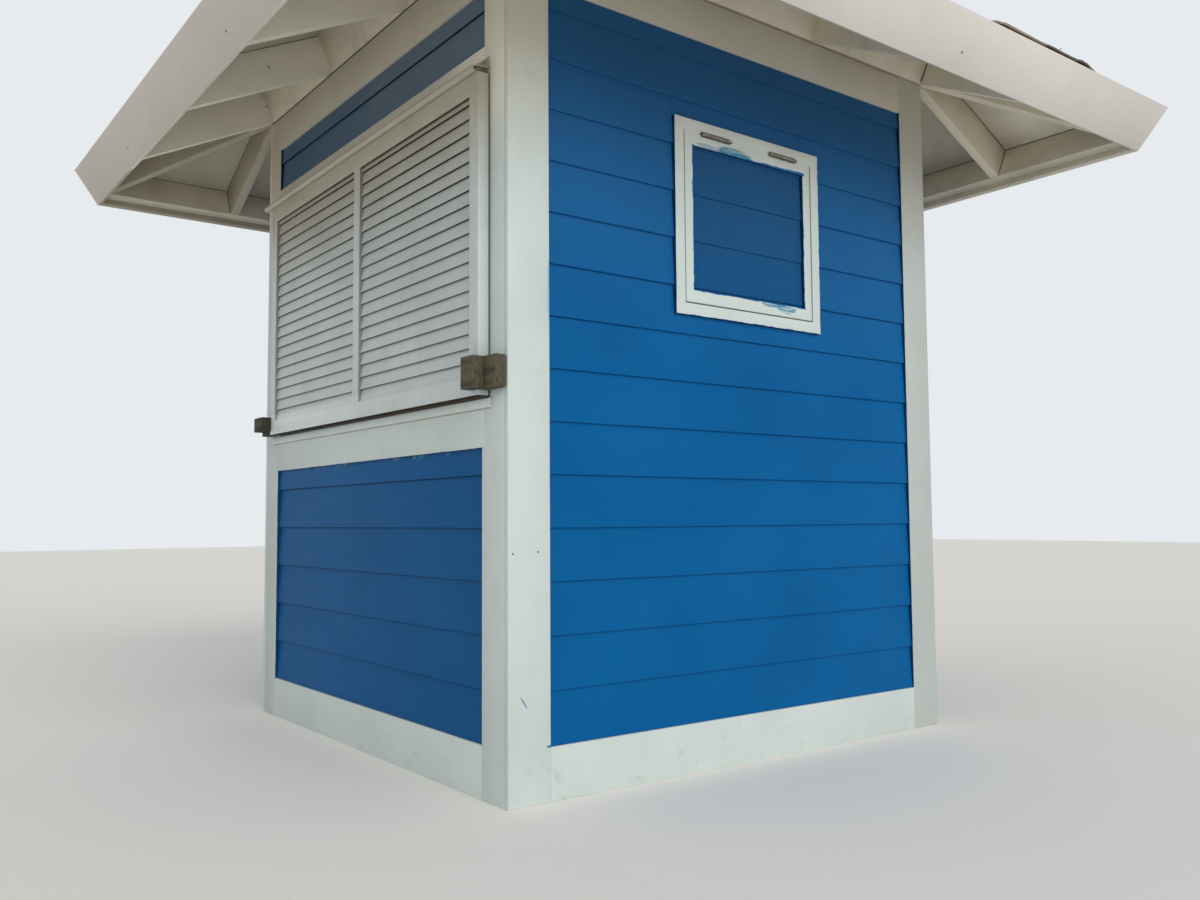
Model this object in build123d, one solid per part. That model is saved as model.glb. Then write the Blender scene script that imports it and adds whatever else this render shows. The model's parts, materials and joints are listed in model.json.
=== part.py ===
from build123d import *
import math
import os

# Lifeguard tower cabin, in millimetres.
# The origin is the middle of the cabin's footprint, on the level it stands on.
# The wall with the louvered shutter faces -Y and the wall with the hatch faces +X.

os.makedirs("parts", exist_ok=True)

# Cabin body
cabin_width = 1918.0
trim_thick = 19.0
wall_thick = 100.0
wall_top = 2489.0
plate_rise = 31.0
side_corner_width = 140.0
front_corner_width = 127.0
skirt_height = 151.0
frieze_height = 144.0
siding_thick = 12.0

# Floor
joist_height = 140.0
joist_thick = 38.0
joist_count = 7
deck_thick = 19.0

# Window behind the shutter, hung from the siding left over it
upper_field_height = 176.0
casing_head_height = 144.0
window_height = 825.0
casing_apron_height = 209.0

# Shutter, larger than the window by its laps and set nearer the right corner
shutter_left_margin = 154.0
shutter_side_lap = 43.0
shutter_head_lap = 50.0
shutter_foot_lap = 63.0
shutter_thick = 35.0
shutter_gap = 5.0
stile_width = 51.0
middle_stile_width = 50.0
bottom_rail = 56.0
top_rail = 62.0
slat_count = 19
slat_head_room = 16.3
slat_thick = 5.0
slat_rise = 50.0
slat_lean = 10.0
slat_inset = 7.0
slat_foot_gap = 2.0
foot_channel_wall = 3.0
foot_channel_depth = 15.0
foot_channel_end = 20.0

# Strip under the shutter
sill_strip_drop = 7.0
sill_strip_height = 27.0
sill_strip_lap = 7.0
sill_strip_proud = 6.0

# Hinge rail over the shutter, with a bead along its nose
sleeve_stem = 0.5
nose_proud = 4.0
nose_end_inset = 12.0
bead_radius = 7.5
bead_clearance = 0.5
sleeve_thick = 3.5
rail_flange_thick = 4.0
rail_flange_height = 44.0
rail_neck_below = 4.0
rail_neck_above = 3.0
rail_left_reach = 62.0
rail_cap_gap = 1.0
sleeve_open_angle = 45.0
sleeve_tab_thick = 6.0
sleeve_tab_inset = 2.0
sleeve_tab_lap = 1.0

# Keeper blocks at the shutter's lower corners
keeper_height = 92.0
keeper_width = 92.0
keeper_thick = 38.0
keeper_rise = 14.0
keeper_end_inset = 3.0
keeper_lap = 33.0
keeper_front_width = 67.0
left_keeper_lap = 12.0
left_front_width = 93.0
left_front_height = 57.0
left_back_height = 70.0
left_back_drop = 15.0

# Hatches in the side walls
hatch_width = 598.0
hatch_height = 564.0
hatch_head_drop = 313.0
hatch_casing_width = 37.5
hatch_casing_thick = 22.0
hatch_stop = 20.0
hatch_gap = 5.0
hatch_frame_width = 41.0
hatch_frame_side = 35.0
hatch_frame_thick = 16.0
hatch_panel_thick = 6.0

# Hatch hinges, each barrel in a slot in the faces of the casing and the flap
hinge_length = 132.0
hinge_inset = 71.0
hinge_leaf_thick = 2.0
hinge_leaf_gap = 1.0
hinge_proud = 3.0
hinge_barrel_radius = 5.0
hinge_pin_radius = 2.5
hinge_pin_clearance = 0.3
hinge_knuckles = 5
hinge_knuckle_gap = 0.5
hinge_slot_height = 19.0
hinge_slot_depth = 8.0
hinge_slot_end = 2.0

# Door in the back wall
door_width = 760.0
door_head_drop = 186.0
door_gap = 4.0
door_thick = 38.0
door_casing_width = 89.0
door_hinge_radius = 7.0
door_hinge_length = 102.0
door_hinge_inset = 200.0
door_hinge_count = 3
knob_height = 950.0
knob_backset = 70.0
knob_radius = 26.0
knob_reach = 55.0
knob_stem_radius = 10.0
knob_rose_radius = 32.0
knob_rose_thick = 6.0

# Roof
roof_pitch = math.degrees(math.atan2(1, 2))
eave_out = 648.0
fascia_thick = 19.0
fascia_depth = 184.0
board_deck_thick = 19.0
rafter_height = 139.3
rafter_thick = 38.0
rafter_count = 4
blocking_thick = 38.0
side_blocking_out = 27.0
hip_thick = 38.0
king_width = 100.0
king_drop = 40.0
shingle_thick = 7.0
shingle_setback = 16.0
hip_joint = 1.5
cap_thick = 5.0
cap_half_width = 110.0

# How far cuts run past the faces they open
overcut = 1.0

# Places worked out from the sizes above
half = cabin_width / 2
core_face = half - trim_thick
core_inside = core_face - wall_thick
floor_top = joist_height + deck_thick
plate_top = wall_top + plate_rise
side_field = half - side_corner_width
front_field = half - front_corner_width
frieze_foot = wall_top - frieze_height
reach = half + eave_out
big = 4 * reach

# Heights of the front wall, from the frieze down
casing_head = frieze_foot - upper_field_height
window_head = casing_head - casing_head_height
window_sill = window_head - window_height
casing_foot = window_sill - casing_apron_height
shutter_top = window_head + shutter_head_lap
shutter_bottom = window_sill - shutter_foot_lap

# Widths of the front wall, from the corners in
shutter_left = -half + shutter_left_margin
shutter_right = half - keeper_end_inset - keeper_width
shutter_middle = (shutter_left + shutter_right) / 2
window_half = -shutter_left - shutter_side_lap

# Roof slope
pitch_cos = math.cos(math.radians(roof_pitch))
pitch_sin = math.sin(math.radians(roof_pitch))
rafter_bottom = board_deck_thick + rafter_height
eave_top = wall_top + (rafter_bottom - eave_out * pitch_sin) / pitch_cos


def block(x0, x1, y0, y1, z0, z1):
    """Box between two corners."""
    return Pos((x0 + x1) / 2, (y0 + y1) / 2, (z0 + z1) / 2) * Box(x1 - x0, y1 - y0, z1 - z0)


def turned(shape, quarter):
    """Shape turned about the vertical: 0 front, 1 right, 2 back, 3 left."""
    return Rot(0, 0, 90 * quarter) * shape


def solids_of(shapes):
    """Flat list of the solids in a list of shapes."""
    found = []
    for shape in shapes:
        found.extend(shape.solids())
    return found


def save(shapes, node):
    """One STEP file for a node, from one or more solids."""
    solids = solids_of(shapes)
    shape = solids[0] if len(solids) == 1 else Compound(solids)
    export_step(shape, f"parts/{node}.step")


def frame(x0, x1, z0, z1, hole_x0, hole_x1, hole_z0, hole_z1, y0, y1):
    """Flat ring in the XZ plane, between two Y planes."""
    outer = block(x0, x1, y0, y1, z0, z1)
    return outer - block(hole_x0, hole_x1, y0 - overcut, y1 + overcut, hole_z0, hole_z1)


# Floor frame and deck
joist_run = 2 * core_face - joist_thick
joists = []
for i in range(joist_count):
    x = -joist_run / 2 + joist_run * i / (joist_count - 1)
    joist_y = core_face - joist_thick
    joists.append(block(x - joist_thick / 2, x + joist_thick / 2, -joist_y, joist_y, 0, joist_height))
save(joists, "floor_joists")

rim = block(-core_face, core_face, -core_face, -core_face + joist_thick, 0, joist_height)
save([rim, turned(rim, 2)], "floor_rims")

save([block(-core_face, core_face, -core_face, core_face, joist_height, floor_top)], "floor_deck")

# Front wall: piers beside the window, infills below and above it
front_pier = block(window_half, core_face, -core_face, -core_inside, floor_top, plate_top)
save([front_pier, block(-core_face, -window_half, -core_face, -core_inside, floor_top, plate_top)],
     "front_wall_piers")
save([block(-window_half, window_half, -core_face, -core_inside, floor_top, window_sill),
      block(-window_half, window_half, -core_face, -core_inside, window_head, plate_top)],
     "front_wall_infills")

# Side walls: drawn as a front wall between the two long walls, then turned
hatch_half = hatch_width / 2
hatch_top = frieze_foot - hatch_head_drop
hatch_bottom = hatch_top - hatch_height
wall_hole_half = hatch_half - hatch_stop
wall_hole_low = hatch_bottom + hatch_stop
wall_hole_high = hatch_top - hatch_stop
side_pier = block(wall_hole_half, core_inside, -core_face, -core_inside, floor_top, plate_top)
side_pier_far = block(-core_inside, -wall_hole_half, -core_face, -core_inside, floor_top, plate_top)
side_low = block(-wall_hole_half, wall_hole_half, -core_face, -core_inside, floor_top, wall_hole_low)
side_high = block(-wall_hole_half, wall_hole_half, -core_face, -core_inside, wall_hole_high, plate_top)
for side, quarter in (("right", 1), ("left", 3)):
    save([turned(side_pier, quarter), turned(side_pier_far, quarter)], f"{side}_wall_piers")
    save([turned(side_low, quarter), turned(side_high, quarter)], f"{side}_wall_infills")

# Back wall: piers beside the doorway and the piece over it
door_half = door_width / 2
door_head = frieze_foot - door_head_drop
door_trim_half = door_half + door_casing_width
door_trim_top = door_head + door_casing_width
back_pier = block(door_half, core_face, -core_face, -core_inside, floor_top, plate_top)
back_pier_far = block(-core_face, -door_half, -core_face, -core_inside, floor_top, plate_top)
save([turned(back_pier, 2), turned(back_pier_far, 2)], "back_wall_piers")
back_over = block(-door_half, door_half, -core_face, -core_inside, door_head, plate_top)
save([turned(back_over, 2)], "back_wall_over_door")

# Corner boards: those on the side walls lap over the edges of those on the front and back,
# and those on the front are as wide as the side ones below the casing
side_boards = []
end_boards = []
for quarter in (1, 3):
    for x0 in (side_field, -half):
        board = block(x0, x0 + side_corner_width, -half, -core_face, 0, wall_top)
        side_boards.append(turned(board, quarter))
end_board_width = core_face - front_field
for quarter in (0, 2):
    for x0 in (front_field, -core_face):
        board = block(x0, x0 + end_board_width, -half, -core_face, 0, wall_top)
        if quarter == 0:
            foot_x0 = side_field if x0 > 0 else -core_face
            foot_x1 = core_face if x0 > 0 else -side_field
            board += block(foot_x0, foot_x1, -half, -core_face, 0, casing_foot)
        end_boards.append(turned(board, quarter))
save(side_boards, "corner_boards_sides")
save(end_boards, "corner_boards_ends")

# Skirt and frieze between the corner boards
skirts = []
friezes = []
for quarter in range(4):
    field = front_field if quarter in (0, 2) else side_field
    skirt_ends = [(-side_field, side_field)]
    if quarter == 2:
        skirt_ends = [(-field, -door_trim_half), (door_trim_half, field)]
    for x0, x1 in skirt_ends:
        skirts.append(turned(block(x0, x1, -half, -core_face, 0, skirt_height), quarter))
    friezes.append(turned(block(-field, field, -half, -core_face, frieze_foot, wall_top), quarter))
save(skirts, "skirt_boards")
save(friezes, "frieze_boards")

# Lap siding as flat sheets
siding_face = core_face + siding_thick
front_low = block(-side_field, side_field, -siding_face, -core_face, skirt_height, casing_foot)
front_high = block(-front_field, front_field, -siding_face, -core_face, casing_head, frieze_foot)
save([front_low, front_high], "front_siding")

casing_half = hatch_half + hatch_casing_width
casing_low = hatch_bottom - hatch_casing_width
casing_high = hatch_top + hatch_casing_width
side_siding = frame(-side_field, side_field, skirt_height, frieze_foot,
                    -casing_half, casing_half, casing_low, casing_high,
                    -siding_face, -core_face)
save([turned(side_siding, 1)], "right_siding")
save([turned(side_siding, 3)], "left_siding")

back_siding = frame(-front_field, front_field, skirt_height, frieze_foot,
                    -door_trim_half, door_trim_half, 0, door_trim_top,
                    -siding_face, -core_face)
save([turned(back_siding, 2)], "back_siding")

# Front window casing and the strip under the shutter
front_casing = frame(-front_field, front_field, casing_foot, casing_head,
                     -window_half, window_half, window_sill, window_head,
                     -half, -core_face)
save([front_casing], "front_casing")
strip_half = shutter_right + sill_strip_lap
strip_top = shutter_bottom - sill_strip_drop
save([block(-strip_half, strip_half, -half - sill_strip_proud, -half,
            strip_top - sill_strip_height, strip_top)], "front_sill_strip")

# Hatch flaps hang in their casings by a gap all round
hatch_casing_face = core_face + hatch_casing_thick
flap_back = core_face + hatch_gap
flap_face = flap_back + hatch_frame_thick
flap_half = hatch_half - hatch_gap
flap_low = hatch_bottom + hatch_gap
flap_high = hatch_top - hatch_gap
panel_half = flap_half - hatch_frame_side
panel_low = flap_low + hatch_frame_width
panel_high = flap_high - hatch_frame_width

# Hinge line, in the middle of the gap over the flap
hinge_x = flap_half - hinge_inset - hinge_length / 2
hinge_y = -(hatch_casing_face + hinge_proud)
hinge_z = (hatch_top + flap_high) / 2
knuckle_length = hinge_length / hinge_knuckles
leaf_front = hinge_y + hinge_barrel_radius + hinge_leaf_gap


def hinge_slot(x):
    """Room for a barrel in the face of the casing and of the flap, with round ends."""
    outline = SlotOverall(hinge_length + 2 * hinge_slot_end, hinge_slot_height)
    floor = Plane((x, -hatch_casing_face + hinge_slot_depth, hinge_z), x_dir=(1, 0, 0), z_dir=(0, -1, 0))
    return extrude(floor * outline, hinge_slot_depth + overcut)


def hinge_rod(x, radius, length):
    """Round bar on the hinge line."""
    return Pos(x, hinge_y, hinge_z) * Rot(0, 90, 0) * Cylinder(radius, length)


def hinge_half(x, low, high, knuckles, bored):
    """Leaf in the gap between two heights, with its knuckles on the hinge line."""
    piece = block(x - hinge_length / 2, x + hinge_length / 2, leaf_front, -flap_back, low, high)
    for index in knuckles:
        middle = x - hinge_length / 2 + (index + 1 / 2) * knuckle_length
        length = knuckle_length - hinge_knuckle_gap
        neck = block(middle - length / 2, middle + length / 2, hinge_y, leaf_front + hinge_leaf_gap,
                     low, high)
        piece = piece + neck + hinge_rod(middle, hinge_barrel_radius, length)
    if bored:
        piece = piece - hinge_rod(x, hinge_pin_radius + hinge_pin_clearance, hinge_length)
    return piece


# Hatch casings, one on each side wall
slots = hinge_slot(-hinge_x) + hinge_slot(hinge_x)
hatch_casing = frame(-casing_half, casing_half, casing_low, casing_high,
                     -hatch_half, hatch_half, hatch_bottom, hatch_top,
                     -hatch_casing_face, -core_face) - slots
save([turned(hatch_casing, 1), turned(hatch_casing, 3)], "hatch_casings")

# Hatch flaps: a frame round a recessed siding panel
flap_frame = frame(-flap_half, flap_half, flap_low, flap_high,
                   -panel_half, panel_half, panel_low, panel_high,
                   -flap_face, -flap_back) - slots
flap_panel = block(-panel_half, panel_half, -flap_back - hatch_panel_thick, -flap_back,
                   panel_low, panel_high)
save([turned(flap_frame, 1)], "right_hatch_frame")
save([turned(flap_panel, 1)], "right_hatch_panel")
save([turned(flap_frame, 3)], "left_hatch_frame")
save([turned(flap_panel, 3)], "left_hatch_panel")

# Hatch hinges: the fixed half carries the pin and the outer knuckles
fixed_halves = []
moving_halves = []
for x in (-hinge_x, hinge_x):
    fixed = hinge_half(x, hatch_top - hinge_leaf_thick, hatch_top, range(0, hinge_knuckles, 2), False)
    fixed_halves.append(fixed + hinge_rod(x, hinge_pin_radius, hinge_length - hinge_knuckle_gap))
    moving_halves.append(hinge_half(x, flap_high, flap_high + hinge_leaf_thick,
                                    range(1, hinge_knuckles, 2), True))
save([turned(leaf, 1) for leaf in fixed_halves], "right_hatch_hinges_fixed")
save([turned(leaf, 1) for leaf in moving_halves], "right_hatch_hinges_moving")
save([turned(leaf, 3) for leaf in fixed_halves + moving_halves], "left_hatch_hinges")

# Back door and its casing
door_casing = frame(-door_trim_half, door_trim_half, 0, door_trim_top,
                    -door_half, door_half, floor_top, door_head,
                    -half, -core_face)
save([turned(door_casing, 2)], "back_door_casing")
door = block(-door_half + door_gap, door_half - door_gap, -core_face, -core_face + door_thick,
             floor_top, door_head - door_gap)
save([turned(door, 2)], "back_door")

# Door fittings: hinge barrels in the corner beside the casing, and a round knob
door_edge = door_half - door_gap
barrel_low = floor_top + door_hinge_inset
barrel_step = (door_head - door_hinge_inset - door_hinge_length - barrel_low) / (door_hinge_count - 1)
fittings = []
for index in range(door_hinge_count):
    middle = barrel_low + barrel_step * index + door_hinge_length / 2
    fittings.append(Pos(-door_edge + door_hinge_radius, -core_face - door_hinge_radius, middle)
                    * Cylinder(door_hinge_radius, door_hinge_length))
knob_place = Pos(door_edge - knob_backset, -core_face, floor_top + knob_height) * Rot(90, 0, 0)
low_end = (Align.CENTER, Align.CENTER, Align.MIN)
rose = Cylinder(knob_rose_radius, knob_rose_thick, align=low_end)
stem = Cylinder(knob_stem_radius, knob_reach - knob_radius, align=low_end)
fittings.append(knob_place * (rose + stem + Pos(0, 0, knob_reach - knob_radius) * Sphere(knob_radius)))
save([turned(fitting, 2) for fitting in fittings], "back_door_fittings")

# Shutter: frame with a middle stile, and two bays of slats
shutter_back = half + shutter_gap
shutter_face = shutter_back + shutter_thick
bay_low = shutter_bottom + bottom_rail
bay_high = shutter_top - top_rail
bays = {"left": (shutter_left + stile_width, shutter_middle - middle_stile_width / 2),
        "right": (shutter_middle + middle_stile_width / 2, shutter_right - stile_width)}
shutter_frame = block(shutter_left, shutter_right, -shutter_face, -shutter_back,
                      shutter_bottom, shutter_top)
for x0, x1 in bays.values():
    shutter_frame = shutter_frame - block(x0, x1, -shutter_face - overcut, -shutter_back + overcut,
                                          bay_low, bay_high)
foot_channel = block(shutter_left + foot_channel_end, shutter_right - foot_channel_end,
                     -shutter_face + foot_channel_wall, -shutter_back - foot_channel_wall,
                     shutter_bottom - overcut, shutter_bottom + foot_channel_depth)
save([shutter_frame - foot_channel], "shutter_frame")


slat_pitch = (bay_high - bay_low - slat_head_room) / slat_count


def slat(x0, x1, z):
    """One slat, its lower edge to the front and its upper edge to the back, cut to the bay."""
    y0 = -shutter_face + slat_inset
    outline = Polyline((y0, z), (y0 + slat_lean, z + slat_rise),
                       (y0 + slat_lean + slat_thick, z + slat_rise), (y0 + slat_thick, z), close=True)
    whole = extrude(Plane((x0, 0, 0), x_dir=(0, 1, 0), z_dir=(1, 0, 0)) * make_face(outline), x1 - x0)
    return whole & block(x0, x1, -shutter_face, -shutter_back, bay_low + slat_foot_gap, bay_high)


for name, (x0, x1) in bays.items():
    slats = [slat(x0, x1, bay_low + slat_pitch * k) for k in range(slat_count + 1)]
    save(slats, f"shutter_louvers_{name}")

# Hinge rail on the wall and the shutter's sleeve round its bead
sleeve_inner = bead_radius + bead_clearance
sleeve_outer = sleeve_inner + sleeve_thick
rail_y = -(shutter_face + nose_proud)
rail_z = shutter_top + sleeve_stem + sleeve_outer
rail_left = shutter_left - rail_left_reach
nose_right = shutter_right - nose_end_inset
rail_low = rail_z - rail_neck_below


def nose(x0, x1, radius):
    """Round bar along the rail's nose."""
    return Pos((x0 + x1) / 2, rail_y, rail_z) * Rot(0, 90, 0) * Cylinder(radius, x1 - x0)


rail_flange = block(rail_left, shutter_right, -half - rail_flange_thick, -half,
                    rail_low, rail_low + rail_flange_height)
rail_neck = block(rail_left, nose_right, rail_y, -half - rail_flange_thick / 2,
                  rail_low, rail_z + rail_neck_above)
rail_end = block(nose_right, shutter_right, rail_y + sleeve_outer, -half - rail_flange_thick / 2,
                 rail_low, rail_z + rail_neck_above)
rail_cap = nose(rail_left, shutter_left - rail_cap_gap, sleeve_outer)
save([rail_flange + rail_neck + rail_end + nose(rail_left, nose_right, bead_radius) + rail_cap],
     "shutter_hinge_rail")

ring = nose(shutter_left, nose_right, sleeve_outer) - nose(rail_left, shutter_right, sleeve_inner)
mouth_reach = 2 * sleeve_outer
mouth_top_y = rail_y - mouth_reach * math.sin(math.radians(sleeve_open_angle))
mouth_top_z = rail_z + mouth_reach * math.cos(math.radians(sleeve_open_angle))
mouth = Polyline((rail_y, rail_z), (rail_y + mouth_reach, rail_z - mouth_reach),
                 (rail_y + mouth_reach, rail_z + mouth_reach), (rail_y, rail_z + mouth_reach),
                 (mouth_top_y, mouth_top_z), close=True)
mouth_cut = extrude(Plane((rail_left, 0, 0), x_dir=(0, 1, 0), z_dir=(1, 0, 0)) * make_face(mouth),
                    shutter_right - rail_left)
sleeve = ring - mouth_cut
tab = block(shutter_left, nose_right, -shutter_face + sleeve_tab_inset,
            -shutter_face + sleeve_tab_inset + sleeve_tab_thick, shutter_top,
            rail_z - sleeve_inner + sleeve_tab_lap)
save([sleeve + tab], "shutter_hinge_sleeve")

# Keeper blocks screwed to the shutter's lower corners, cut from odd lengths
keeper_z = shutter_bottom + keeper_rise
left_lap_edge = shutter_left + left_keeper_lap
right_lap_edge = shutter_right - keeper_lap
left_back_z = keeper_z - left_back_drop
save([block(shutter_left - keeper_width, shutter_left, -shutter_face, -shutter_back,
            left_back_z, left_back_z + left_back_height),
      block(shutter_right, shutter_right + keeper_width, -shutter_face, -shutter_back,
            keeper_z, keeper_z + keeper_height)], "shutter_keepers_back")
save([block(left_lap_edge - left_front_width, left_lap_edge, -shutter_face - keeper_thick, -shutter_face,
            keeper_z, keeper_z + left_front_height),
      block(right_lap_edge, right_lap_edge + keeper_front_width, -shutter_face - keeper_thick,
            -shutter_face, keeper_z, keeper_z + keeper_height)], "shutter_keepers_front")

# Roof: every board is placed by how far it lies up the slope and how deep below the deck's top
slope_length = reach / pitch_cos
rafter_foot = fascia_thick + rafter_thick


def roof_point(along, depth):
    """Point of the front slope: outward distance and height."""
    out = reach - along * pitch_cos - depth * pitch_sin
    height = eave_top + along * pitch_sin - depth * pitch_cos
    return (-out, height)


def slope_board(x0, x1, along0, along1, depth0, depth1):
    """Board of the front slope with square edges."""
    outline = Polyline(roof_point(along0, depth0), roof_point(along1, depth0),
                       roof_point(along1, depth1), roof_point(along0, depth1), close=True)
    return extrude(Plane((x0, 0, 0), x_dir=(0, 1, 0), z_dir=(1, 0, 0)) * make_face(outline), x1 - x0)


def front_wedge(gap):
    """The part of the plan nearest the front, held back from the hips by a gap."""
    outline = Polyline((0, -gap), (-big, -big - gap), (big, -big - gap), close=True)
    return extrude(make_face(outline), big)


sheet_end = 2 * slope_length
mitred = front_wedge(0)
fascia = slope_board(-reach, reach, 0, fascia_thick, 0, fascia_depth) & mitred
sub_fascia = slope_board(-reach, reach, fascia_thick, rafter_foot, board_deck_thick, rafter_bottom) & mitred
deck = slope_board(-reach, reach, fascia_thick, sheet_end, 0, board_deck_thick) & front_wedge(hip_joint)
shingles = (slope_board(-big / 2, big / 2, shingle_setback, sheet_end, -shingle_thick, 0)
            & front_wedge(hip_joint))
save([turned(fascia, 0), turned(fascia, 2)], "fascia_ends")
save([turned(fascia, 1), turned(fascia, 3)], "fascia_sides")
save([turned(sub_fascia, 0), turned(sub_fascia, 2)], "sub_fascia_ends")
save([turned(sub_fascia, 1), turned(sub_fascia, 3)], "sub_fascia_sides")
save([turned(deck, quarter) for quarter in range(4)], "roof_deck")
save([turned(shingles, quarter) for quarter in range(4)], "roof_shingles")

# Rafters: notched over the walls, cut against the hip rafters
wall_ring = (block(-core_face, core_face, -core_face, core_face, floor_top, plate_top)
             - block(-core_inside, core_inside, -core_inside, core_inside, 0, big))
hip_gap = hip_thick / 2 * math.sqrt(2)
rafter_region = front_wedge(hip_gap)
rafter_run = cabin_width - rafter_thick
rafter_places = [-rafter_run / 2 + rafter_run * i / (rafter_count - 1) for i in range(rafter_count)]
front_rafters = []
for x in rafter_places:
    rafter = slope_board(x - rafter_thick / 2, x + rafter_thick / 2, rafter_foot, sheet_end,
                         board_deck_thick, rafter_bottom)
    front_rafters.append((rafter & rafter_region) - wall_ring)
save([turned(rafter, quarter) for quarter in (0, 2) for rafter in front_rafters], "rafters_ends")
save([turned(rafter, quarter) for quarter in (1, 3) for rafter in front_rafters], "rafters_sides")

# Blocking between the rafters at the top of the walls, set further out over the side walls
blocks = []
for quarter in range(4):
    out = side_blocking_out if quarter in (1, 3) else 0
    block_foot = (eave_out - out - rafter_bottom * pitch_sin) / pitch_cos
    for left, right in zip(rafter_places[:-1], rafter_places[1:]):
        board = slope_board(left + rafter_thick / 2, right - rafter_thick / 2, block_foot,
                            block_foot + blocking_thick, board_deck_thick, rafter_bottom)
        blocks.append(turned((board & rafter_region) - wall_ring, quarter))
save(blocks, "rafter_blocking")

apex_z = eave_top + reach * pitch_sin / pitch_cos


def pyramid(depth):
    """Solid under the roof's slopes, at a depth below the deck's top."""
    apex = apex_z - depth / pitch_cos
    foot = apex - big * pitch_sin / pitch_cos
    outline = Polyline((-big, foot), (big, foot), (0, apex), close=True)
    ridge = extrude(Plane((-big, 0, 0), x_dir=(0, 1, 0), z_dir=(1, 0, 0)) * make_face(outline), 2 * big)
    return ridge & turned(ridge, 1)


# Hip rafters from the king block over the wall corners to the eaves, square boards dropped until
# their top edges meet the deck
hip_fall = pitch_sin / pitch_cos / math.sqrt(2)
hip_high = apex_z - board_deck_thick / pitch_cos - hip_fall * hip_thick / 2
hip_depth = (rafter_bottom - board_deck_thick) * math.hypot(1, hip_fall)
hip_start = king_width / 2
hip_end = reach * math.sqrt(2)
start_z = hip_high - hip_fall * hip_start
end_z = hip_high - hip_fall * hip_end
hip_outline = Polyline((-hip_start, start_z), (-hip_end, end_z), (-hip_end, end_z - hip_depth),
                       (-hip_start, start_z - hip_depth), close=True)
hip_board = Rot(0, 0, 45) * extrude(Plane((0, hip_thick / 2, 0), x_dir=(1, 0, 0), z_dir=(0, -1, 0))
                                    * make_face(hip_outline), hip_thick)
behind_eave = slope_board(-big, big, rafter_foot, sheet_end, 0, rafter_bottom + hip_thick)
hip = (hip_board & behind_eave & turned(behind_eave, 3)) - wall_ring
save([turned(hip, quarter) for quarter in range(4)], "hip_rafters")

king = Rot(0, 0, 45) * block(-king_width / 2, king_width / 2, -king_width / 2, king_width / 2,
                             apex_z - rafter_bottom / pitch_cos - king_drop, big)
save([king & pyramid(board_deck_thick)], "king_block")

# Caps over the hips
cap_shell = pyramid(-shingle_thick - cap_thick) - pyramid(-shingle_thick)
cap_strip = (Rot(0, 0, 45) * block(-big, big, -cap_half_width, cap_half_width, 0, big)
             + Rot(0, 0, -45) * block(-big, big, -cap_half_width, cap_half_width, 0, big))
cap_reach = reach - shingle_setback
cap_room = block(-cap_reach, cap_reach, -cap_reach, cap_reach, 0, big)
save([cap_shell & cap_strip & cap_room], "hip_caps")
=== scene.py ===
import json
import math
import random

import bmesh
import bpy
from mathutils import Matrix, Vector, noise


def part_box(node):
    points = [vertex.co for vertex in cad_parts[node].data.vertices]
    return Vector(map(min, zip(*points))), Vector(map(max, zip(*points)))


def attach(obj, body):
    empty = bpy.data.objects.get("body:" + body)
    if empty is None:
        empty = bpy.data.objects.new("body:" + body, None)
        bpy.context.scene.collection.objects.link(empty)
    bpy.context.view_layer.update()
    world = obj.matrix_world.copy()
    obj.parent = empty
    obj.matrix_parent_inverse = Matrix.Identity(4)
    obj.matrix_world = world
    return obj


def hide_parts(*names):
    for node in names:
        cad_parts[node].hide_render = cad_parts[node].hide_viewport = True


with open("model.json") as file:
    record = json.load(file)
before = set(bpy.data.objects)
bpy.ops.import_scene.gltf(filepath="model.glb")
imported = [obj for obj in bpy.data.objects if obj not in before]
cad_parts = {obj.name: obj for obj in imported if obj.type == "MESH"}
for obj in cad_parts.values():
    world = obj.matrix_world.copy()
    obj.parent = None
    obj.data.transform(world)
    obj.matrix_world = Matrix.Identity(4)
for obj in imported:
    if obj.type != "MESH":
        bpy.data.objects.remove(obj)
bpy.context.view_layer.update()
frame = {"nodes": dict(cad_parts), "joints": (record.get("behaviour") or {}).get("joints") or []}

# Metres throughout. The shutter wall faces -Y and the wall with the opening hatch faces +X.
wallTurns = {"front": 0, "right": 1, "back": 2, "left": 3}


def wallPoint(wall, along, out, height):
    # A point of the front wall, seen from outside, carried round to another wall.
    x, y = along, -out
    for _ in range(wallTurns[wall]):
        x, y = -y, x
    return Vector((x, y, height))


def nodeSpan(node, axis):
    low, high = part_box(node)
    return low[axis], high[axis]


# Measures that several pieces share, read off the frame.
coreFace = -nodeSpan("front_wall_piers", 1)[0]
trimFace = -nodeSpan("front_casing", 1)[0]
frontHalf = nodeSpan("front_siding", 0)[1]
sideHalf = nodeSpan("right_siding", 1)[1]
fieldLow, fieldHigh = nodeSpan("right_siding", 2)
casingLow, casingHigh = nodeSpan("front_casing", 2)
hatchOuter = nodeSpan("hatch_casings", 1)[1]
hatchLow, hatchHigh = nodeSpan("hatch_casings", 2)
panelHalf = nodeSpan("right_hatch_panel", 1)[1]
panelLow, panelHigh = nodeSpan("right_hatch_panel", 2)
doorOuter = nodeSpan("back_door_casing", 0)[1]
doorTop = nodeSpan("back_door_casing", 2)[1]
casingFace = nodeSpan("hatch_casings", 0)[1]
flapFace = nodeSpan("right_hatch_frame", 0)[1]
shutterLeft, shutterRight = nodeSpan("shutter_frame", 0)
shutterFoot, shutterTop = nodeSpan("shutter_frame", 2)
sillLow, sillHigh = nodeSpan("front_sill_strip", 2)
sillHalf = nodeSpan("front_sill_strip", 0)[1]
wallTop = nodeSpan("corner_boards_sides", 2)[1]
print("frame loaded")


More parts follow.
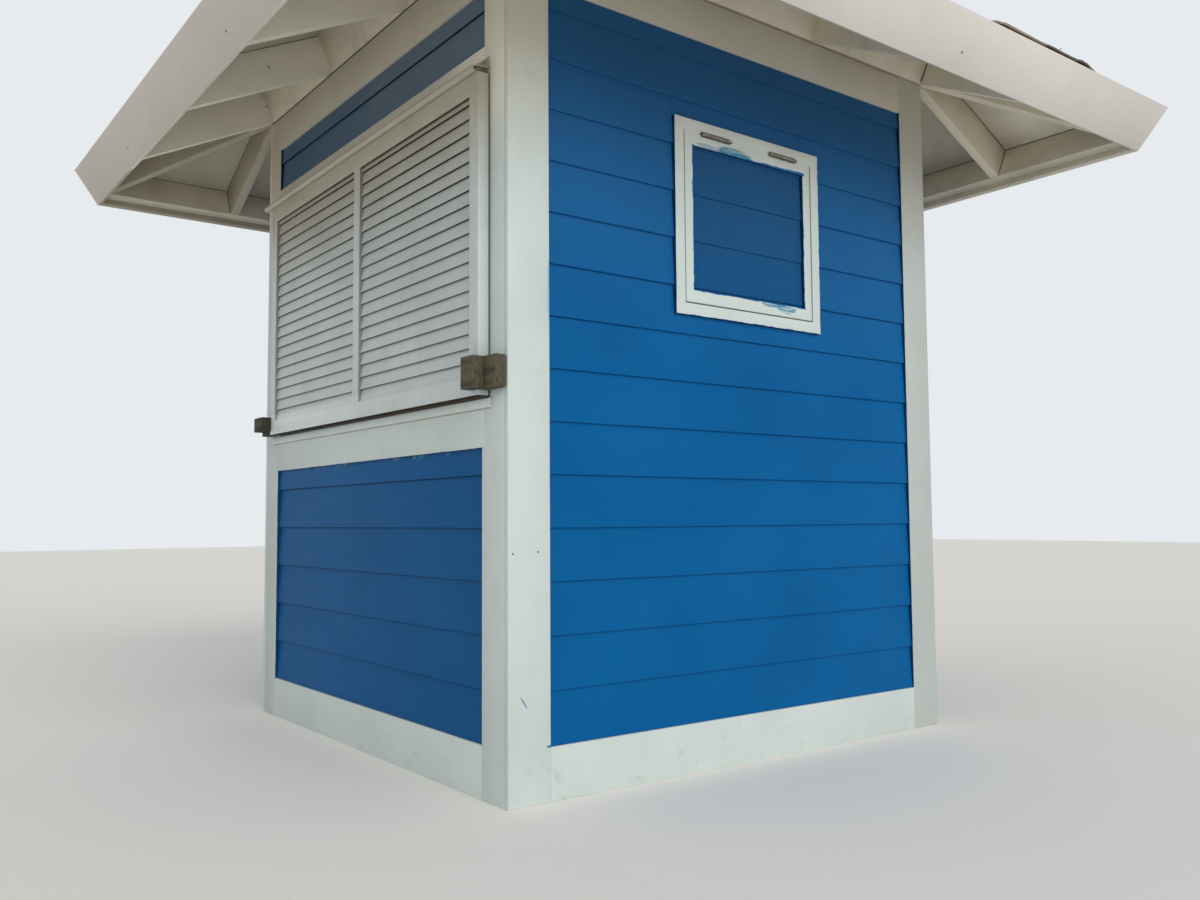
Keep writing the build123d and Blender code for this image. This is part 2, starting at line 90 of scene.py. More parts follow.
# Shader helpers
class Value:
    # A socket that can be added, multiplied and so on.
    def __init__(self, socket):
        self.socket, self.tree = socket, socket.id_data

    def __add__(self, other):
        return calc("ADD", self, other)

    def __sub__(self, other):
        return calc("SUBTRACT", self, other)

    def __rsub__(self, other):
        return calc("SUBTRACT", other, self)

    def __mul__(self, other):
        return calc("MULTIPLY", self, other)

    def __truediv__(self, other):
        return calc("DIVIDE", self, other)

    def __abs__(self):
        return calc("ABSOLUTE", self)


def feed(value, socket):
    if isinstance(value, Value):
        value.tree.links.new(value.socket, socket)
    else:
        socket.default_value = (*value, 1.0) if socket.type == "RGBA" else value


def addNode(kind, inputs, output=0, **settings):
    # One output of a node in the tree of the values that feed it.
    tree = next(value.tree for value in inputs.values() if isinstance(value, Value))
    node = tree.nodes.new("ShaderNode" + kind)
    for name, value in settings.items():
        setattr(node, name, value)
    for name, value in inputs.items():
        feed(value, node.inputs[name])
    return Value(node.outputs[output])


def calc(operation, *values, clamp=False):
    return addNode("Math", dict(enumerate(values)), operation=operation, use_clamp=clamp)


def splitUp(kind, value):
    return [Value(output) for output in addNode("Separate" + kind, {0: value}).socket.node.outputs]


def newMaterial(name):
    # Gives the material, its shader, and the place on the object, whole and by axis.
    material = bpy.data.materials.new(name)
    material.use_nodes = True
    tree = material.node_tree
    tree.nodes.clear()
    output = tree.nodes.new("ShaderNodeOutputMaterial")
    shader = tree.nodes.new("ShaderNodeBsdfPrincipled")
    tree.links.new(shader.outputs[0], output.inputs[0])
    place = Value(tree.nodes.new("ShaderNodeTexCoord").outputs["Object"])
    return material, shader, place, splitUp("XYZ", place)


def coat(shader, colour, rough, specular=0.5, metallic=0.0):
    for name, value in (("Base Color", colour), ("Roughness", rough), ("Specular IOR Level", specular),
                        ("Metallic", metallic)):
        feed(value, shader.inputs[name])


def stretched(place, scale):
    return addNode("Mapping", {"Vector": place, "Scale": scale})


def mottle(place, scale, detail=3.0, roughness=0.5, distortion=0.0):
    return addNode("TexNoise", {"Vector": place, "Scale": scale, "Detail": detail, "Roughness": roughness,
                                "Distortion": distortion})


def brushed(place, scale, roughness, detail=4.0):
    # Noise drawn out along a board.
    return mottle(stretched(place, scale), 1.0, detail, roughness)


def remap(value, fromLow, fromHigh, toLow=0.0, toHigh=1.0, kind="SMOOTHSTEP"):
    inputs = dict(enumerate((value, fromLow, fromHigh, toLow, toHigh)))
    return addNode("MapRange", inputs, interpolation_type=kind)


def mix(factor, first, second):
    return addNode("Mix", {0: factor, 6: first, 7: second}, 2, data_type="RGBA")


def relief(shader, height, distance, strength, under=None):
    inputs = {"Strength": strength, "Distance": distance, "Height": height}
    if under is not None:
        inputs["Normal"] = under
    bumped = addNode("Bump", inputs)
    feed(bumped, shader.inputs["Normal"])
    return bumped


def rectangle(along, height, low, high, half):
    # Distance outside a rectangle on a wall, negative inside it.
    return calc("MAXIMUM", abs(along) - half, abs(height - (low + high) / 2) - (high - low) / 2)


def handCut(place, distance, sway, nib, scale=14.0):
    # 1 inside an edge that a brush cut in by hand: it sways slowly and has a few nibs.
    slow = remap(mottle(place, scale, 2.0, 0.5), 0.40, 0.62, -0.4 * sway, sway)
    nibs = remap(mottle(place, scale * 8, 3.0, 0.7), 0.54, 0.66, 0.0, nib)
    return remap(slow + nibs - distance, -0.0003, 0.0003)


def smudge(place, distance, reach, scale):
    # A thin wiped film beside an edge, here and there.
    patches = remap(mottle(place, scale, 3.0, 0.6), 0.50, 0.66)
    return patches * remap(distance, reach, 0.0) * remap(mottle(place, scale * 7, 3.0, 0.7), 0.35, 0.6)


def spot(first, second, centre, half, broken, edge=0.6):
    # A broken patch of wiped paint, oval, centred at two coordinates.
    spread = 0.0
    for axis, middle, size in zip((first, second), centre, half):
        offset = (axis - middle) / size
        spread = calc("MULTIPLY_ADD", offset, offset, spread)
    return remap(spread - broken * 1.5, 0.2, 0.2 - edge)


def strayBlue(place, colour, face, distance, film, cut):
    # Blue paint over an edge: a wiped film as reach, patch size and strength, and the cut's sway and nib.
    colour = mix(smudge(place, distance, *film[:2]) * film[2] * face, colour, paint["paleBlue"])
    return mix(handCut(place, distance, *cut) * face, colour, paint["blue"])


# Paints
paint = {
    "white": (0.595, 0.665, 0.645),
    "whiteShade": (0.545, 0.61, 0.585),
    # Tones under the eaves: yellowed paint with painted warm bounce light and shade; the corners, the
    # fascia's sides and the deck over the hatch wall are painted lighter, the rest of the deck darker.
    "eave": (0.80, 0.73, 0.59),
    "deckBright": (0.93, 0.87, 0.72),
    "fascia": (0.585, 0.54, 0.475),
    "fasciaSides": (0.69, 0.655, 0.605),
    "deck": (0.57, 0.53, 0.43),
    "highCorner": (0.80, 0.785, 0.68),
    "highLevel": (0.66, 0.62, 0.52),
    "blue": (0.0014, 0.108, 0.312),
    "blueDeep": (0.0010, 0.090, 0.268),
    # painted shade for the boards' narrow sides beside the siding
    "paintedShadeBlue": (0.0012, 0.038, 0.115),
    "paleBlue": (0.30, 0.52, 0.62),
    "touch": (0.03, 0.22, 0.42),
    "grime": (0.16, 0.135, 0.10),
    "gap": (0.050, 0.043, 0.034),
}


def trimPaint(name, stretch, edge=None, high="highLevel", warmth=1.0, stain=0.0):
    # White paint brushed along a board. stretch gives the brush marks' direction, and high is
    # the tone under the eaves: yellowed paint with painted warm bounce light and shade.
    material, shader, place, axis = newMaterial(name)
    strokes = brushed(place, stretch, 0.65)
    cloud = remap(mottle(place, 2.3, 3.0, 0.55), 0.35, 0.7)
    colour = mix(cloud, paint["white"], paint["whiteShade"])
    warm = mix(cloud, paint[high], tuple(v * 0.93 for v in paint[high]))
    # Painted light: the deck's underside over the hatch wall is painted brighter.
    if high == "deck":
        warm = mix(remap(axis[0], 0.95, 1.15), warm, paint["deckBright"])
    colour = mix(remap(axis[2], 1.75, 2.28, 0.0, warmth), colour, warm)
    colour = mix(remap(strokes, 0.45, 0.75, 0.0, 0.12), colour, (0.44, 0.45, 0.42))
    if stain:
        clouds = remap(mottle(place, 4.5, 5.0, 0.65), 0.42, 0.72, 0.0, stain)
        colour = mix(clouds, colour, (0.33, 0.30, 0.245))
    # Grime gathers low down and in faint blotches.
    low = remap(axis[2], 0.20, 0.0, 0.0, 0.22)
    blotch = remap(mottle(place, 14.0, 4.0, 0.7), 0.56, 0.78)
    dirtAndShade = calc("MULTIPLY", blotch, low + 0.07, clamp=True)
    colour = mix(dirtAndShade, colour, paint["grime"])
    specks = remap(mottle(place, 95.0, 2.0, 0.5), 0.735, 0.76, 0.0, 0.45)
    colour = mix(specks, colour, paint["grime"])
    if edge is not None:
        colour = edge(place, axis, colour)
    coat(shader, colour, remap(strokes, 0.3, 0.7, 0.42, 0.60), 0.25)
    relief(shader, mottle(place, 55.0), 0.0005, 0.35, relief(shader, strokes, 0.0007, 0.55))
    return material


def boardFace(out, face):
    # 1 on a board's face, 0 on its narrow sides.
    return remap(abs(out), face - 0.0012, face - 0.0008)


def blueSide(colour, face, distance):
    # A board's narrow side beside the siding is painted with the siding, in a darker blue that is painted
    # shade.
    near = remap(distance, 0.0018, 0.0010)
    return mix((1.0 - face) * near, colour, paint["paintedShadeBlue"])


def sideEdge(place, axis, colour):
    # Blue paint strayed on to the white beside the side walls' siding.
    along, height = axis[1], axis[2]
    field = rectangle(along, height, fieldLow, fieldHigh, sideHalf)
    face = boardFace(axis[0], trimFace)
    colour = strayBlue(place, colour, face, field, (0.010, 7.0, 0.5), (0.0003, 0.0009))
    # Painted shade: the corner boards darken towards the wall's far end.
    colour = mix(remap(along, 0.5, 0.85, 0.0, 0.34) * face, colour, (0.25, 0.24, 0.215))
    # A few brush touches on the near corner.
    broken = brushed(place, (60.0, 25.0, 90.0), 0.7)
    slanted = calc("MULTIPLY_ADD", height, 0.65, along)
    for first, centre, half, tone in (
            (along, (-sideHalf + 0.001, fieldLow + 0.003), (0.018, 0.005), "touch"),
            (slanted, (-0.908 + 0.65 * 0.282, 0.282), (0.003, 0.020), "touch"),
            (along, (-sideHalf - 0.003, 1.44), (0.006, 0.11), "paleBlue")):
        colour = mix(spot(first, height, centre, half, broken) * face, colour, paint[tone])
    return blueSide(colour, face, field)


def hatchEdge(place, axis, colour):
    # The casing's right and bottom edges were cut in unsteadily, its other edges cleanly.
    along, height = axis[1], axis[2]
    inward = rectangle(along, height, hatchLow, hatchHigh, hatchOuter) * -1.0
    unsteady = calc("MINIMUM", hatchOuter - along, height - hatchLow)
    face = boardFace(axis[0], casingFace)
    colour = mix(smudge(place, unsteady, 0.010, 30.0) * 0.4 * face, colour, paint["paleBlue"])
    shaky = handCut(place, unsteady, 0.0018, 0.0024, 26.0)
    mask = calc("MAXIMUM", shaky, handCut(place, inward, 0.0003, 0.0))
    colour = mix(mask * face, colour, paint["blue"])
    return blueSide(colour, face, inward)


def frontEdge(place, axis, colour):
    # Blue paint strayed on to the white beside the front wall's two blue fields.
    along, height = axis[0], axis[2]
    distance = calc("MINIMUM", rectangle(along, height, fieldLow, casingLow, sideHalf),
                    rectangle(along, height, casingHigh, fieldHigh, frontHalf))
    face = boardFace(axis[1], trimFace)
    colour = strayBlue(place, colour, face, distance, (0.012, 12.0, 0.5), (0.0008, 0.0016))
    # Painted light: the near corner is painted brighter under the eave, the far one darker as painted shade.
    near = remap(along, 0.5, 0.8) * remap(height, 1.80, 2.15, 0.0, 0.85)
    colour = mix(near * face, colour, (0.94, 0.905, 0.78))
    far = remap(along, -0.5, -0.85) * face
    colour = mix(far * 0.22, colour, (0.22, 0.20, 0.17))
    colour = mix(far * remap(height, 1.9, 2.3), colour, (0.67, 0.615, 0.50))
    # Painted shade: a dark rim round the shutter's place, strongest along its foot, stands for the shade in
    # the gap behind the shutter, and a painted shadow lies unevenly along the foot of the sill strip.
    rim = rectangle(along - (shutterLeft + shutterRight) / 2, height, sillHigh, shutterTop,
                    (shutterRight - shutterLeft) / 2 + 0.001)
    strip = calc("MAXIMUM", remap(rim, -0.0055, -0.0045, 0.0, 0.7),
                 remap(height, sillHigh + 0.034, sillHigh + 0.030))
    isFront = remap(axis[1], -coreFace, -trimFace + 0.001)
    colour = mix(remap(rim, -0.0008, -0.0016) * strip * isFront, colour, (0.125, 0.115, 0.092))
    dustAndShadow = remap(rectangle(along, height, sillLow - 0.0044, sillLow, sillHalf), 0.0008, -0.0008) * isFront
    uneven = remap(brushed(place, (14.0, 1.0, 1.0), 0.7), 0.3, 0.6, 0.4, 0.95)
    colour = mix(dustAndShadow * uneven, colour, (0.40, 0.35, 0.27))
    return blueSide(friezeEdge(place, axis, colour), face, distance)


def friezeEdge(place, axis, colour):
    # Painted shade: a dark line at the open joint over the frieze boards, fainter on the side walls.
    joint = remap(axis[2], wallTop - 0.0076, wallTop - 0.0060)
    strength = remap(abs(axis[0]), trimFace - 0.003, trimFace - 0.002, 1.0, 0.35)
    return mix(joint * strength, colour, paint["gap"])


def eaveEdge(place, axis, colour):
    # The rafters over the shutter catch the most light, the left corner and the hips the least.
    left = remap(axis[0], -0.93, -0.97)
    front = remap(axis[1], -0.93, -0.97) * (1.0 - left)
    colour = mix(front * 0.75, colour, (0.97, 0.93, 0.82))
    return mix(left * 0.55, colour, (0.25, 0.22, 0.16))


def sillEdge(place, axis, colour):
    # The strip under the shutter is painted a little lighter, as a painted highlight.
    return mix(0.15, colour, (0.84, 0.90, 0.885))


def fasciaEdge(place, axis, colour):
    # The fascia is painted darker and greyer towards its ends.
    along = calc("MINIMUM", abs(axis[0]), abs(axis[1]))
    return mix(remap(along, 0.8, 1.5, 0.0, 0.24), colour, (0.27, 0.255, 0.23))


def flapEdge(place, axis, colour):
    # The flap's inner edges were cut in by hand, with two larger smears.
    along, height = axis[1], axis[2]
    distance = rectangle(along, height, panelLow, panelHigh, panelHalf)
    face = boardFace(axis[0], flapFace)
    streaks = brushed(place, (60.0, 9.0, 170.0), 0.75, 5.0)
    for centre, half, strength in (((-0.195, panelHigh + 0.005), (0.060, 0.012), 0.55),
                                   ((-0.070, panelHigh + 0.009), (0.090, 0.019), 1.0),
                                   ((0.090, panelLow - 0.006), (0.050, 0.013), 0.9),
                                   ((0.165, panelLow - 0.012), (0.055, 0.020), 1.0)):
        streaky = spot(along, height, centre, half, streaks, 0.5) * remap(streaks, 0.42, 0.52, 0.30, 1.0)
        colour = mix(streaky * strength, colour, (0.035, 0.215, 0.36))
    colour = mix(smudge(place, distance, 0.007, 30.0) * 0.3, colour, paint["paleBlue"])
    # The blue laps on to the frame at the bottom and the left, and more and more along the top.
    atTop = remap(height, panelHigh - 0.004, panelHigh)
    rising = remap(along, -panelHalf * 0.6, panelHalf, 0.0, 0.0085, "LINEAR")
    atFoot = remap(height, panelLow + 0.004, panelLow, 0.0, 0.0028, "LINEAR")
    atLeft = remap(along, -panelHalf + 0.004, -panelHalf, 0.0, 0.0030, "LINEAR")
    lapped = calc("MAXIMUM", calc("MAXIMUM", atFoot, atLeft), atTop * rising)
    colour = mix(handCut(place, distance - lapped, 0.0018, 0.0032, 22.0) * face, colour, paint["blue"])
    return blueSide(colour, face, distance)


def panelEdge(place, axis, colour):
    # Painted shadow: a dark line where the flap's panel meets its frame at the bottom and the right, in the
    # shade of the frame's recess.
    low = remap(axis[2], panelLow + 0.0040, panelLow + 0.0030)
    right = remap(axis[1], panelHalf - 0.0036, panelHalf - 0.0028)
    return mix(calc("MAXIMUM", low, right), colour, (0.002, 0.018, 0.060))


def casingFoot(place, axis, colour):
    # White paint strayed on to the siding under the casing.
    distance = abs(axis[2] - casingLow)
    colour = mix(smudge(place, distance, 0.016, 12.0) * 0.5, colour, paint["paleBlue"])
    return mix(handCut(place, distance, 0.0, 0.002), colour, paint["white"])


def sidingPaint(name, edge=None, depth=1.0, film=0.0):
    # Blue paint on lap boards. depth darkens it as painted shade, and film is how far a grey film of grime
    # and painted reflection covers it up high.
    material, shader, place, axis = newMaterial(name)
    strokes = brushed(place, (5.0, 5.0, 420.0), 0.65)
    cloud = mottle(place, 2.2, 2.0, 0.45)
    colour = mix(remap(cloud, 0.3, 0.75, 0.0, 0.7), paint["blue"], paint["blueDeep"])
    colour = mix(remap(strokes, 0.5, 0.8, 0.0, 0.20), colour, (0.008, 0.145, 0.385))
    # Painted shade: depth darkens the whole field.
    if depth < 1.0:
        colour = mix(1.0 - depth, colour, (0.0, 0.006, 0.02))
    # Painted reflection and shade: the blue greys towards the top of the wall.
    colour = mix(remap(axis[2], 1.15, 2.42, 0.0, 0.20), colour, (0.115, 0.135, 0.135))
    # Grime and painted reflection: up high a pale grey film, paler towards the near corner.
    if film:
        grey = remap(axis[2], 1.60, 1.80) * remap(cloud, 0.3, 0.7, film, film * 0.75)
        grey = remap(axis[2], 1.95, 2.30, 0.35, 1.0) * grey
        paleTone = mix(remap(axis[0], -0.8, 0.7), (0.165, 0.225, 0.260), (0.285, 0.335, 0.345))
        colour = mix(grey, colour, paleTone)
        # Painted shade: the boards' downward faces under each lap are painted dark.
        facing = splitUp("XYZ", Value(place.tree.nodes.new("ShaderNodeNewGeometry").outputs["Normal"]))
        colour = mix(remap(facing[2], -0.3, -0.6, 0.0, 0.9), colour, (0.001, 0.022, 0.065))
    dustAndShadow = remap(brushed(place, (9.0, 9.0, 3.0), 0.7, 5.0), 0.58, 0.85)
    colour = mix(dustAndShadow * 0.06, colour, (0.20, 0.26, 0.30))
    if edge is not None:
        colour = edge(place, axis, colour)
    coat(shader, colour, remap(strokes, 0.3, 0.75, 0.36, 0.54), 0.06)
    relief(shader, mottle(place, 40.0), 0.0006, 0.3, relief(shader, strokes, 0.0005, 0.4))
    return material


horizontal, vertical = (7.0, 7.0, 330.0), (330.0, 330.0, 6.0)
whiteUpright = trimPaint("whiteUpright", vertical, sideEdge, "highCorner")
whiteUprightEnds = trimPaint("whiteUprightEnds", vertical, frontEdge, "highCorner")
whiteLevel = trimPaint("whiteLevel", horizontal)
whiteEave = trimPaint("whiteEave", horizontal, eaveEdge, "eave", 1.0, 0.30)
whiteBlocking = trimPaint("whiteBlocking", horizontal, None, "eave", 1.0, 0.30)
whiteSill = trimPaint("whiteSill", horizontal, sillEdge)
whiteDeck = trimPaint("whiteDeck", horizontal, None, "deck", 1.0, 0.30)
whiteFrieze = trimPaint("whiteFrieze", horizontal, friezeEdge)
whiteFascia = trimPaint("whiteFascia", horizontal, fasciaEdge, "fascia")
whiteFasciaSides = trimPaint("whiteFasciaSides", horizontal, fasciaEdge, "fasciaSides")
whiteCasing = trimPaint("whiteCasing", horizontal, frontEdge)
whiteHatchCasing = trimPaint("whiteHatchCasing", horizontal, hatchEdge, "highLevel", 0.5)
whiteFlap = trimPaint("whiteFlap", (90.0, 90.0, 90.0), flapEdge, "highLevel", 0.5)
bluePlain = sidingPaint("bluePlain")
blueFront = sidingPaint("blueFront", casingFoot, 0.84, 0.55)
bluePanel = sidingPaint("bluePanel", panelEdge, 0.68)
print("paints ready")


def shutterCoat(name, share):
    # Smooth factory coat, yellowed under the eave by dust and painted warm shade, and washed clean lower
    # down. share is how much of its brightness dirt and painted shade have left it.
    material, shader, place, axis = newMaterial(name)
    streak = brushed(place, (28.0, 28.0, 4.0), 0.6)
    cloud = remap(mottle(place, 5.0, 3.0, 0.5), 0.35, 0.7)
    clean = mix(cloud, (0.555, 0.61, 0.605), (0.51, 0.56, 0.55))
    # Painted highlight: a sheen along the left part of the bottom rail.
    sheen = remap(axis[2], shutterFoot + 0.085, shutterFoot + 0.070) * remap(axis[0], 0.5, -0.5, 0.0, 0.6)
    clean = mix(sheen, clean, (0.80, 0.88, 0.88))
    # Dust and painted warm shade yellow the coat towards the eave.
    dustAndShade = mix(cloud, (0.50, 0.465, 0.37), (0.45, 0.415, 0.325))
    rise = axis[2] - axis[1] * 0.35
    colour = mix(remap(rise, 2.02, 2.44), clean, dustAndShade)
    colour = mix(remap(streak, 0.52, 0.8, 0.0, 0.18), colour, (0.33, 0.32, 0.28))
    colour = mix(1.0 - share, colour, (0.04, 0.036, 0.028))
    coat(shader, colour, remap(streak, 0.3, 0.75, 0.36, 0.50))
    relief(shader, mottle(place, 260.0, 2.0, 0.5), 0.0002, 0.3)
    return material


def timber(name, light, dark, stretch, rings=1.0, rough=0.75):
    # Bare wood with its grain along one direction.
    material, shader, place, _ = newMaterial(name)
    along = stretched(place, stretch)
    grain = mottle(along, 1.0, 5.0, 0.65, 0.6)
    bands = calc("SINE", grain * (24.0 * rings))
    colour = mix(remap(bands, -0.6, 1.0), light, dark)
    stains = remap(mottle(place, 6.0, 4.0, 0.6), 0.5, 0.8, 0.0, 0.5)
    colour = mix(stains, colour, tuple(v * 0.45 for v in dark))
    coat(shader, colour, remap(bands, -1.0, 1.0, rough, rough + 0.14))
    relief(shader, bands * 0.2 + grain, 0.0012, 0.6)
    return material


def hingePaint():
    # White paint worn to grey metal.
    material, shader, place, _ = newMaterial("hingePaint")
    chips = remap(mottle(place, 190.0, 4.0, 0.7), 0.42, 0.58)
    colour = mix(chips, (0.36, 0.33, 0.27), (0.085, 0.065, 0.045))
    coat(shader, colour, remap(chips, 0.0, 1.0, 0.45, 0.6), metallic=chips * 0.6)
    relief(shader, chips, 0.0003, 0.6)
    return material


def dullSteel(name, colour, rough):
    material, shader, place, _ = newMaterial(name)
    spots = mottle(place, 130.0, 4.0, 0.7)
    rust = remap(mottle(place, 28.0, 4.0, 0.7), 0.55, 0.72, 0.0, 0.75)
    colour = mix(rust, colour, (0.17, 0.075, 0.03))
    coat(shader, colour, remap(spots, 0.3, 0.7, rough, rough + 0.25), metallic=0.75)
    relief(shader, spots, 0.0003, 0.4)
    return material


def shingleStone():
    # Mineral granules in mixed browns, each shingle a little different.
    material, shader, place, _ = newMaterial("shingleStone")
    grit = addNode("TexVoronoi", {"Vector": place, "Scale": 620.0}, "Color")
    tone = place.tree.nodes.new("ShaderNodeAttribute")
    tone.attribute_name = "tone"
    base = mix(Value(tone.outputs["Fac"]), (0.085, 0.052, 0.034), (0.17, 0.118, 0.082))
    speck = splitUp("Color", grit)
    colour = mix(remap(speck[0], 0.45, 1.0, 0.0, 0.55), base, (0.24, 0.19, 0.15))
    colour = mix(remap(speck[1], 0.6, 1.0, 0.0, 0.6), colour, (0.03, 0.022, 0.018))
    moss = remap(mottle(place, 5.0, 5.0, 0.65), 0.58, 0.78, 0.0, 0.35)
    colour = mix(moss, colour, (0.06, 0.055, 0.04))
    coat(shader, colour, 0.92)
    relief(shader, Value(grit.socket.node.outputs["Distance"]), 0.0015, 0.7)
    return material


def paintedGapShade(name, dark, light, paleTone=None):
    # Painted shade for open joints and gaps, the shutter's hollows and under its slats, mottled like dirt.
    material, shader, place, axis = newMaterial(name)
    dirtAndShade = mottle(place, 60.0, 4.0, 0.7)
    colour = mix(remap(dirtAndShade, 0.35, 0.7), dark, light)
    # The painted shade is paler lower down and to the left.
    if paleTone:
        rise = calc("MULTIPLY_ADD", axis[0], 0.25, axis[2])
        colour = mix(remap(rise, 2.0, 1.65), colour, paleTone)
    coat(shader, colour, 0.9, 0.1)
    relief(shader, dirtAndShade, 0.0004, 0.4)
    return material


# The slats and the stiles' sides take darkened copies of the coat: dirt and painted shade in the recess.
shutterWhite = shutterCoat("shutterCoat", 0.96)
slatWhite = shutterCoat("slatCoat", 0.90)
revealShade = shutterCoat("revealShadeCoat", 0.38)
gapDark = paintedGapShade("paintedGapShade", paint["gap"], (0.10, 0.088, 0.068))
slatShade = paintedGapShade("slatShade", (0.075, 0.066, 0.052), (0.14, 0.125, 0.10), (0.245, 0.225, 0.19))
eaveShade = paintedGapShade("eaveShade", (0.17, 0.15, 0.12), (0.25, 0.225, 0.18))
interiorPly = timber("interiorPly", (0.56, 0.41, 0.25), (0.44, 0.29, 0.16), (16.0, 16.0, 2.0), 0.7)
floorPly = timber("floorPly", (0.42, 0.31, 0.20), (0.30, 0.21, 0.13), (2.0, 16.0, 16.0), 0.7)
joistTimber = timber("joistTimber", (0.34, 0.27, 0.15), (0.20, 0.15, 0.08), (3.0, 3.0, 50.0))
roofTimber = timber("roofTimber", (0.52, 0.38, 0.22), (0.38, 0.25, 0.13), (6.0, 6.0, 60.0))
blockGrain, feltGrain = ((4.0, 230.0, 60.0), 0.5, 0.8), ((120.0, 9.0, 120.0), 0.6, 0.85)
blockTimber = timber("blockTimber", (0.090, 0.076, 0.045), (0.042, 0.036, 0.024), *blockGrain)
# A darker copy of the keepers' timber, for the far pair.
darkerTimber = timber("darkerTimber", (0.050, 0.042, 0.026), (0.024, 0.020, 0.014), *blockGrain)
hingeFinish = hingePaint()
fittingSteel = dullSteel("fittingSteel", (0.36, 0.35, 0.33), 0.35)
nailSteel = dullSteel("nailSteel", (0.17, 0.15, 0.13), 0.55)
roofStone = shingleStone()
feltTan = timber("feltTan", (0.40, 0.325, 0.265), (0.27, 0.215, 0.175), *feltGrain)
feltBrown = timber("feltBrown", (0.15, 0.122, 0.098), (0.10, 0.082, 0.066), *feltGrain)
print("finishes ready")


# Mesh helpers
def addPiece(name, bm, material, body, replaced=None, smoothAngle=35.0):
    bmesh.ops.recalc_face_normals(bm, faces=bm.faces)
    mesh = bpy.data.meshes.new(name)
    bm.to_mesh(mesh)
    bm.free()
    if smoothAngle:
        mesh.shade_smooth()
        mesh.set_sharp_from_angle(angle=math.radians(smoothAngle))
    piece = bpy.data.objects.new(name, mesh)
    bpy.context.scene.collection.objects.link(piece)
    for each in material if isinstance(material, list) else [material]:
        mesh.materials.append(each)
    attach(piece, body)
    if replaced:
        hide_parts(replaced)


def skin(bm, rings):
    # The walls between rings of corners, from each ring to the next.
    made = []
    for lower, upper in zip(rings[:-1], rings[1:]):
        for k in range(len(lower)):
            after = (k + 1) % len(lower)
            made.append(bm.faces.new((lower[k], lower[after], upper[after], upper[k])))
    return made


def closedSkin(bm, rings):
    return skin(bm, rings) + [bm.faces.new(rings[0][::-1]), bm.faces.new(rings[-1])]


def slab(bm, under, over):
    # A closed sheet between two grids of corners.
    rows, columns, made = len(under) - 1, len(under[0]) - 1, []
    for i in range(rows):
        for j in range(columns):
            made += [bm.faces.new((grid[i][j], grid[i + 1][j], grid[i + 1][j + 1], grid[i][j + 1]))
                     for grid in (under, over)]
        made += [bm.faces.new((under[i][j], under[i + 1][j], over[i + 1][j], over[i][j]))
                 for j in (0, columns)]
    for j in range(columns):
        made += [bm.faces.new((under[i][j], under[i][j + 1], over[i][j + 1], over[i][j])) for i in (0, rows)]
    return made


def easeEdges(bm, edges, width, segments=2):
    if edges:
        bmesh.ops.bevel(bm, geom=edges, offset=width, segments=segments, profile=0.5, affect="EDGES",
                        clamp_overlap=True)


def easedBox(bm, middle, size, ease, index=0):
    made = bmesh.ops.create_cube(bm, size=1.0)["verts"]
    bmesh.ops.transform(bm, verts=made, matrix=Matrix.Translation(middle) @ Matrix.Diagonal((*size, 1.0)))
    for face in {face for vert in made for face in vert.link_faces}:
        face.material_index = index
    easeEdges(bm, list({edge for vert in made for edge in vert.link_edges}), ease)


def rod(bm, middle, turn, radius, length, sides, top=None):
    bmesh.ops.create_cone(bm, cap_ends=True, segments=sides, radius1=radius, radius2=top or radius,
                          depth=length, matrix=Matrix.Translation(middle) @ turn)


def hardEdges(bm):
    return [edge for edge in bm.edges if edge.is_manifold and edge.calc_face_angle(0.0) > math.radians(32)]


def cleanNode(node):
    # The node's own shape as welded flat faces.
    bm = bmesh.new()
    bm.from_mesh(frame["nodes"][node].data)
    bmesh.ops.remove_doubles(bm, verts=bm.verts, dist=1e-5)
    bmesh.ops.dissolve_limit(bm, angle_limit=math.radians(0.5), verts=bm.verts, edges=bm.edges)
    return bm


def easedNode(node, material, body, ease=0.0015, segments=2, choose=None):
    # The node again, with its hard edges rounded as sanding and paint leave them. choose gives
    # each face's material where there are several.
    bm = cleanNode(node)
    easeEdges(bm, hardEdges(bm), ease, segments)
    if choose:
        bm.normal_update()
        for face in bm.faces:
            face.material_index = choose(face.calc_center_median(), face.normal)
    addPiece("eased_" + node, bm, material, body, node)


# Bounds of the painted shade on the shutter's frame.
shutterShadeZones = {"rise": 0.0165, "behind": 0.0028, "hollow": 0.019, "stile": 0.020, "head": 0.10}


def shutterFaces(middle, normal):
    # Painted shade: dark fills the hollow in the shutter's foot and the downward faces under its top rail,
    # and the stiles' sides beside the slats take a darker coat.
    inset = min(middle.x - shutterLeft, shutterRight - middle.x)
    behind = middle.y - nodeSpan("shutter_frame", 1)[0]
    rise = middle.z - shutterFoot
    if rise < shutterShadeZones["rise"] and behind > shutterShadeZones["behind"] and inset > shutterShadeZones["hollow"]:
        return 1
    if inset < shutterShadeZones["stile"]:
        return 0
    if normal.z < -0.7 and middle.z > shutterTop - shutterShadeZones["head"]:
        return 3
    return 2 if abs(normal.x) > 0.7 else 0


def keeperFaces(middle, normal):
    # The far keepers are the darker pair.
    return int(middle.x < 0)


def fasciaFaces(middle, normal):
    # The fascia's back and underside keep the eave's paint.
    return int(normal.dot(Vector((middle.x, middle.y, 0.0)).normalized()) < 0.3 and normal.z < 0.5)


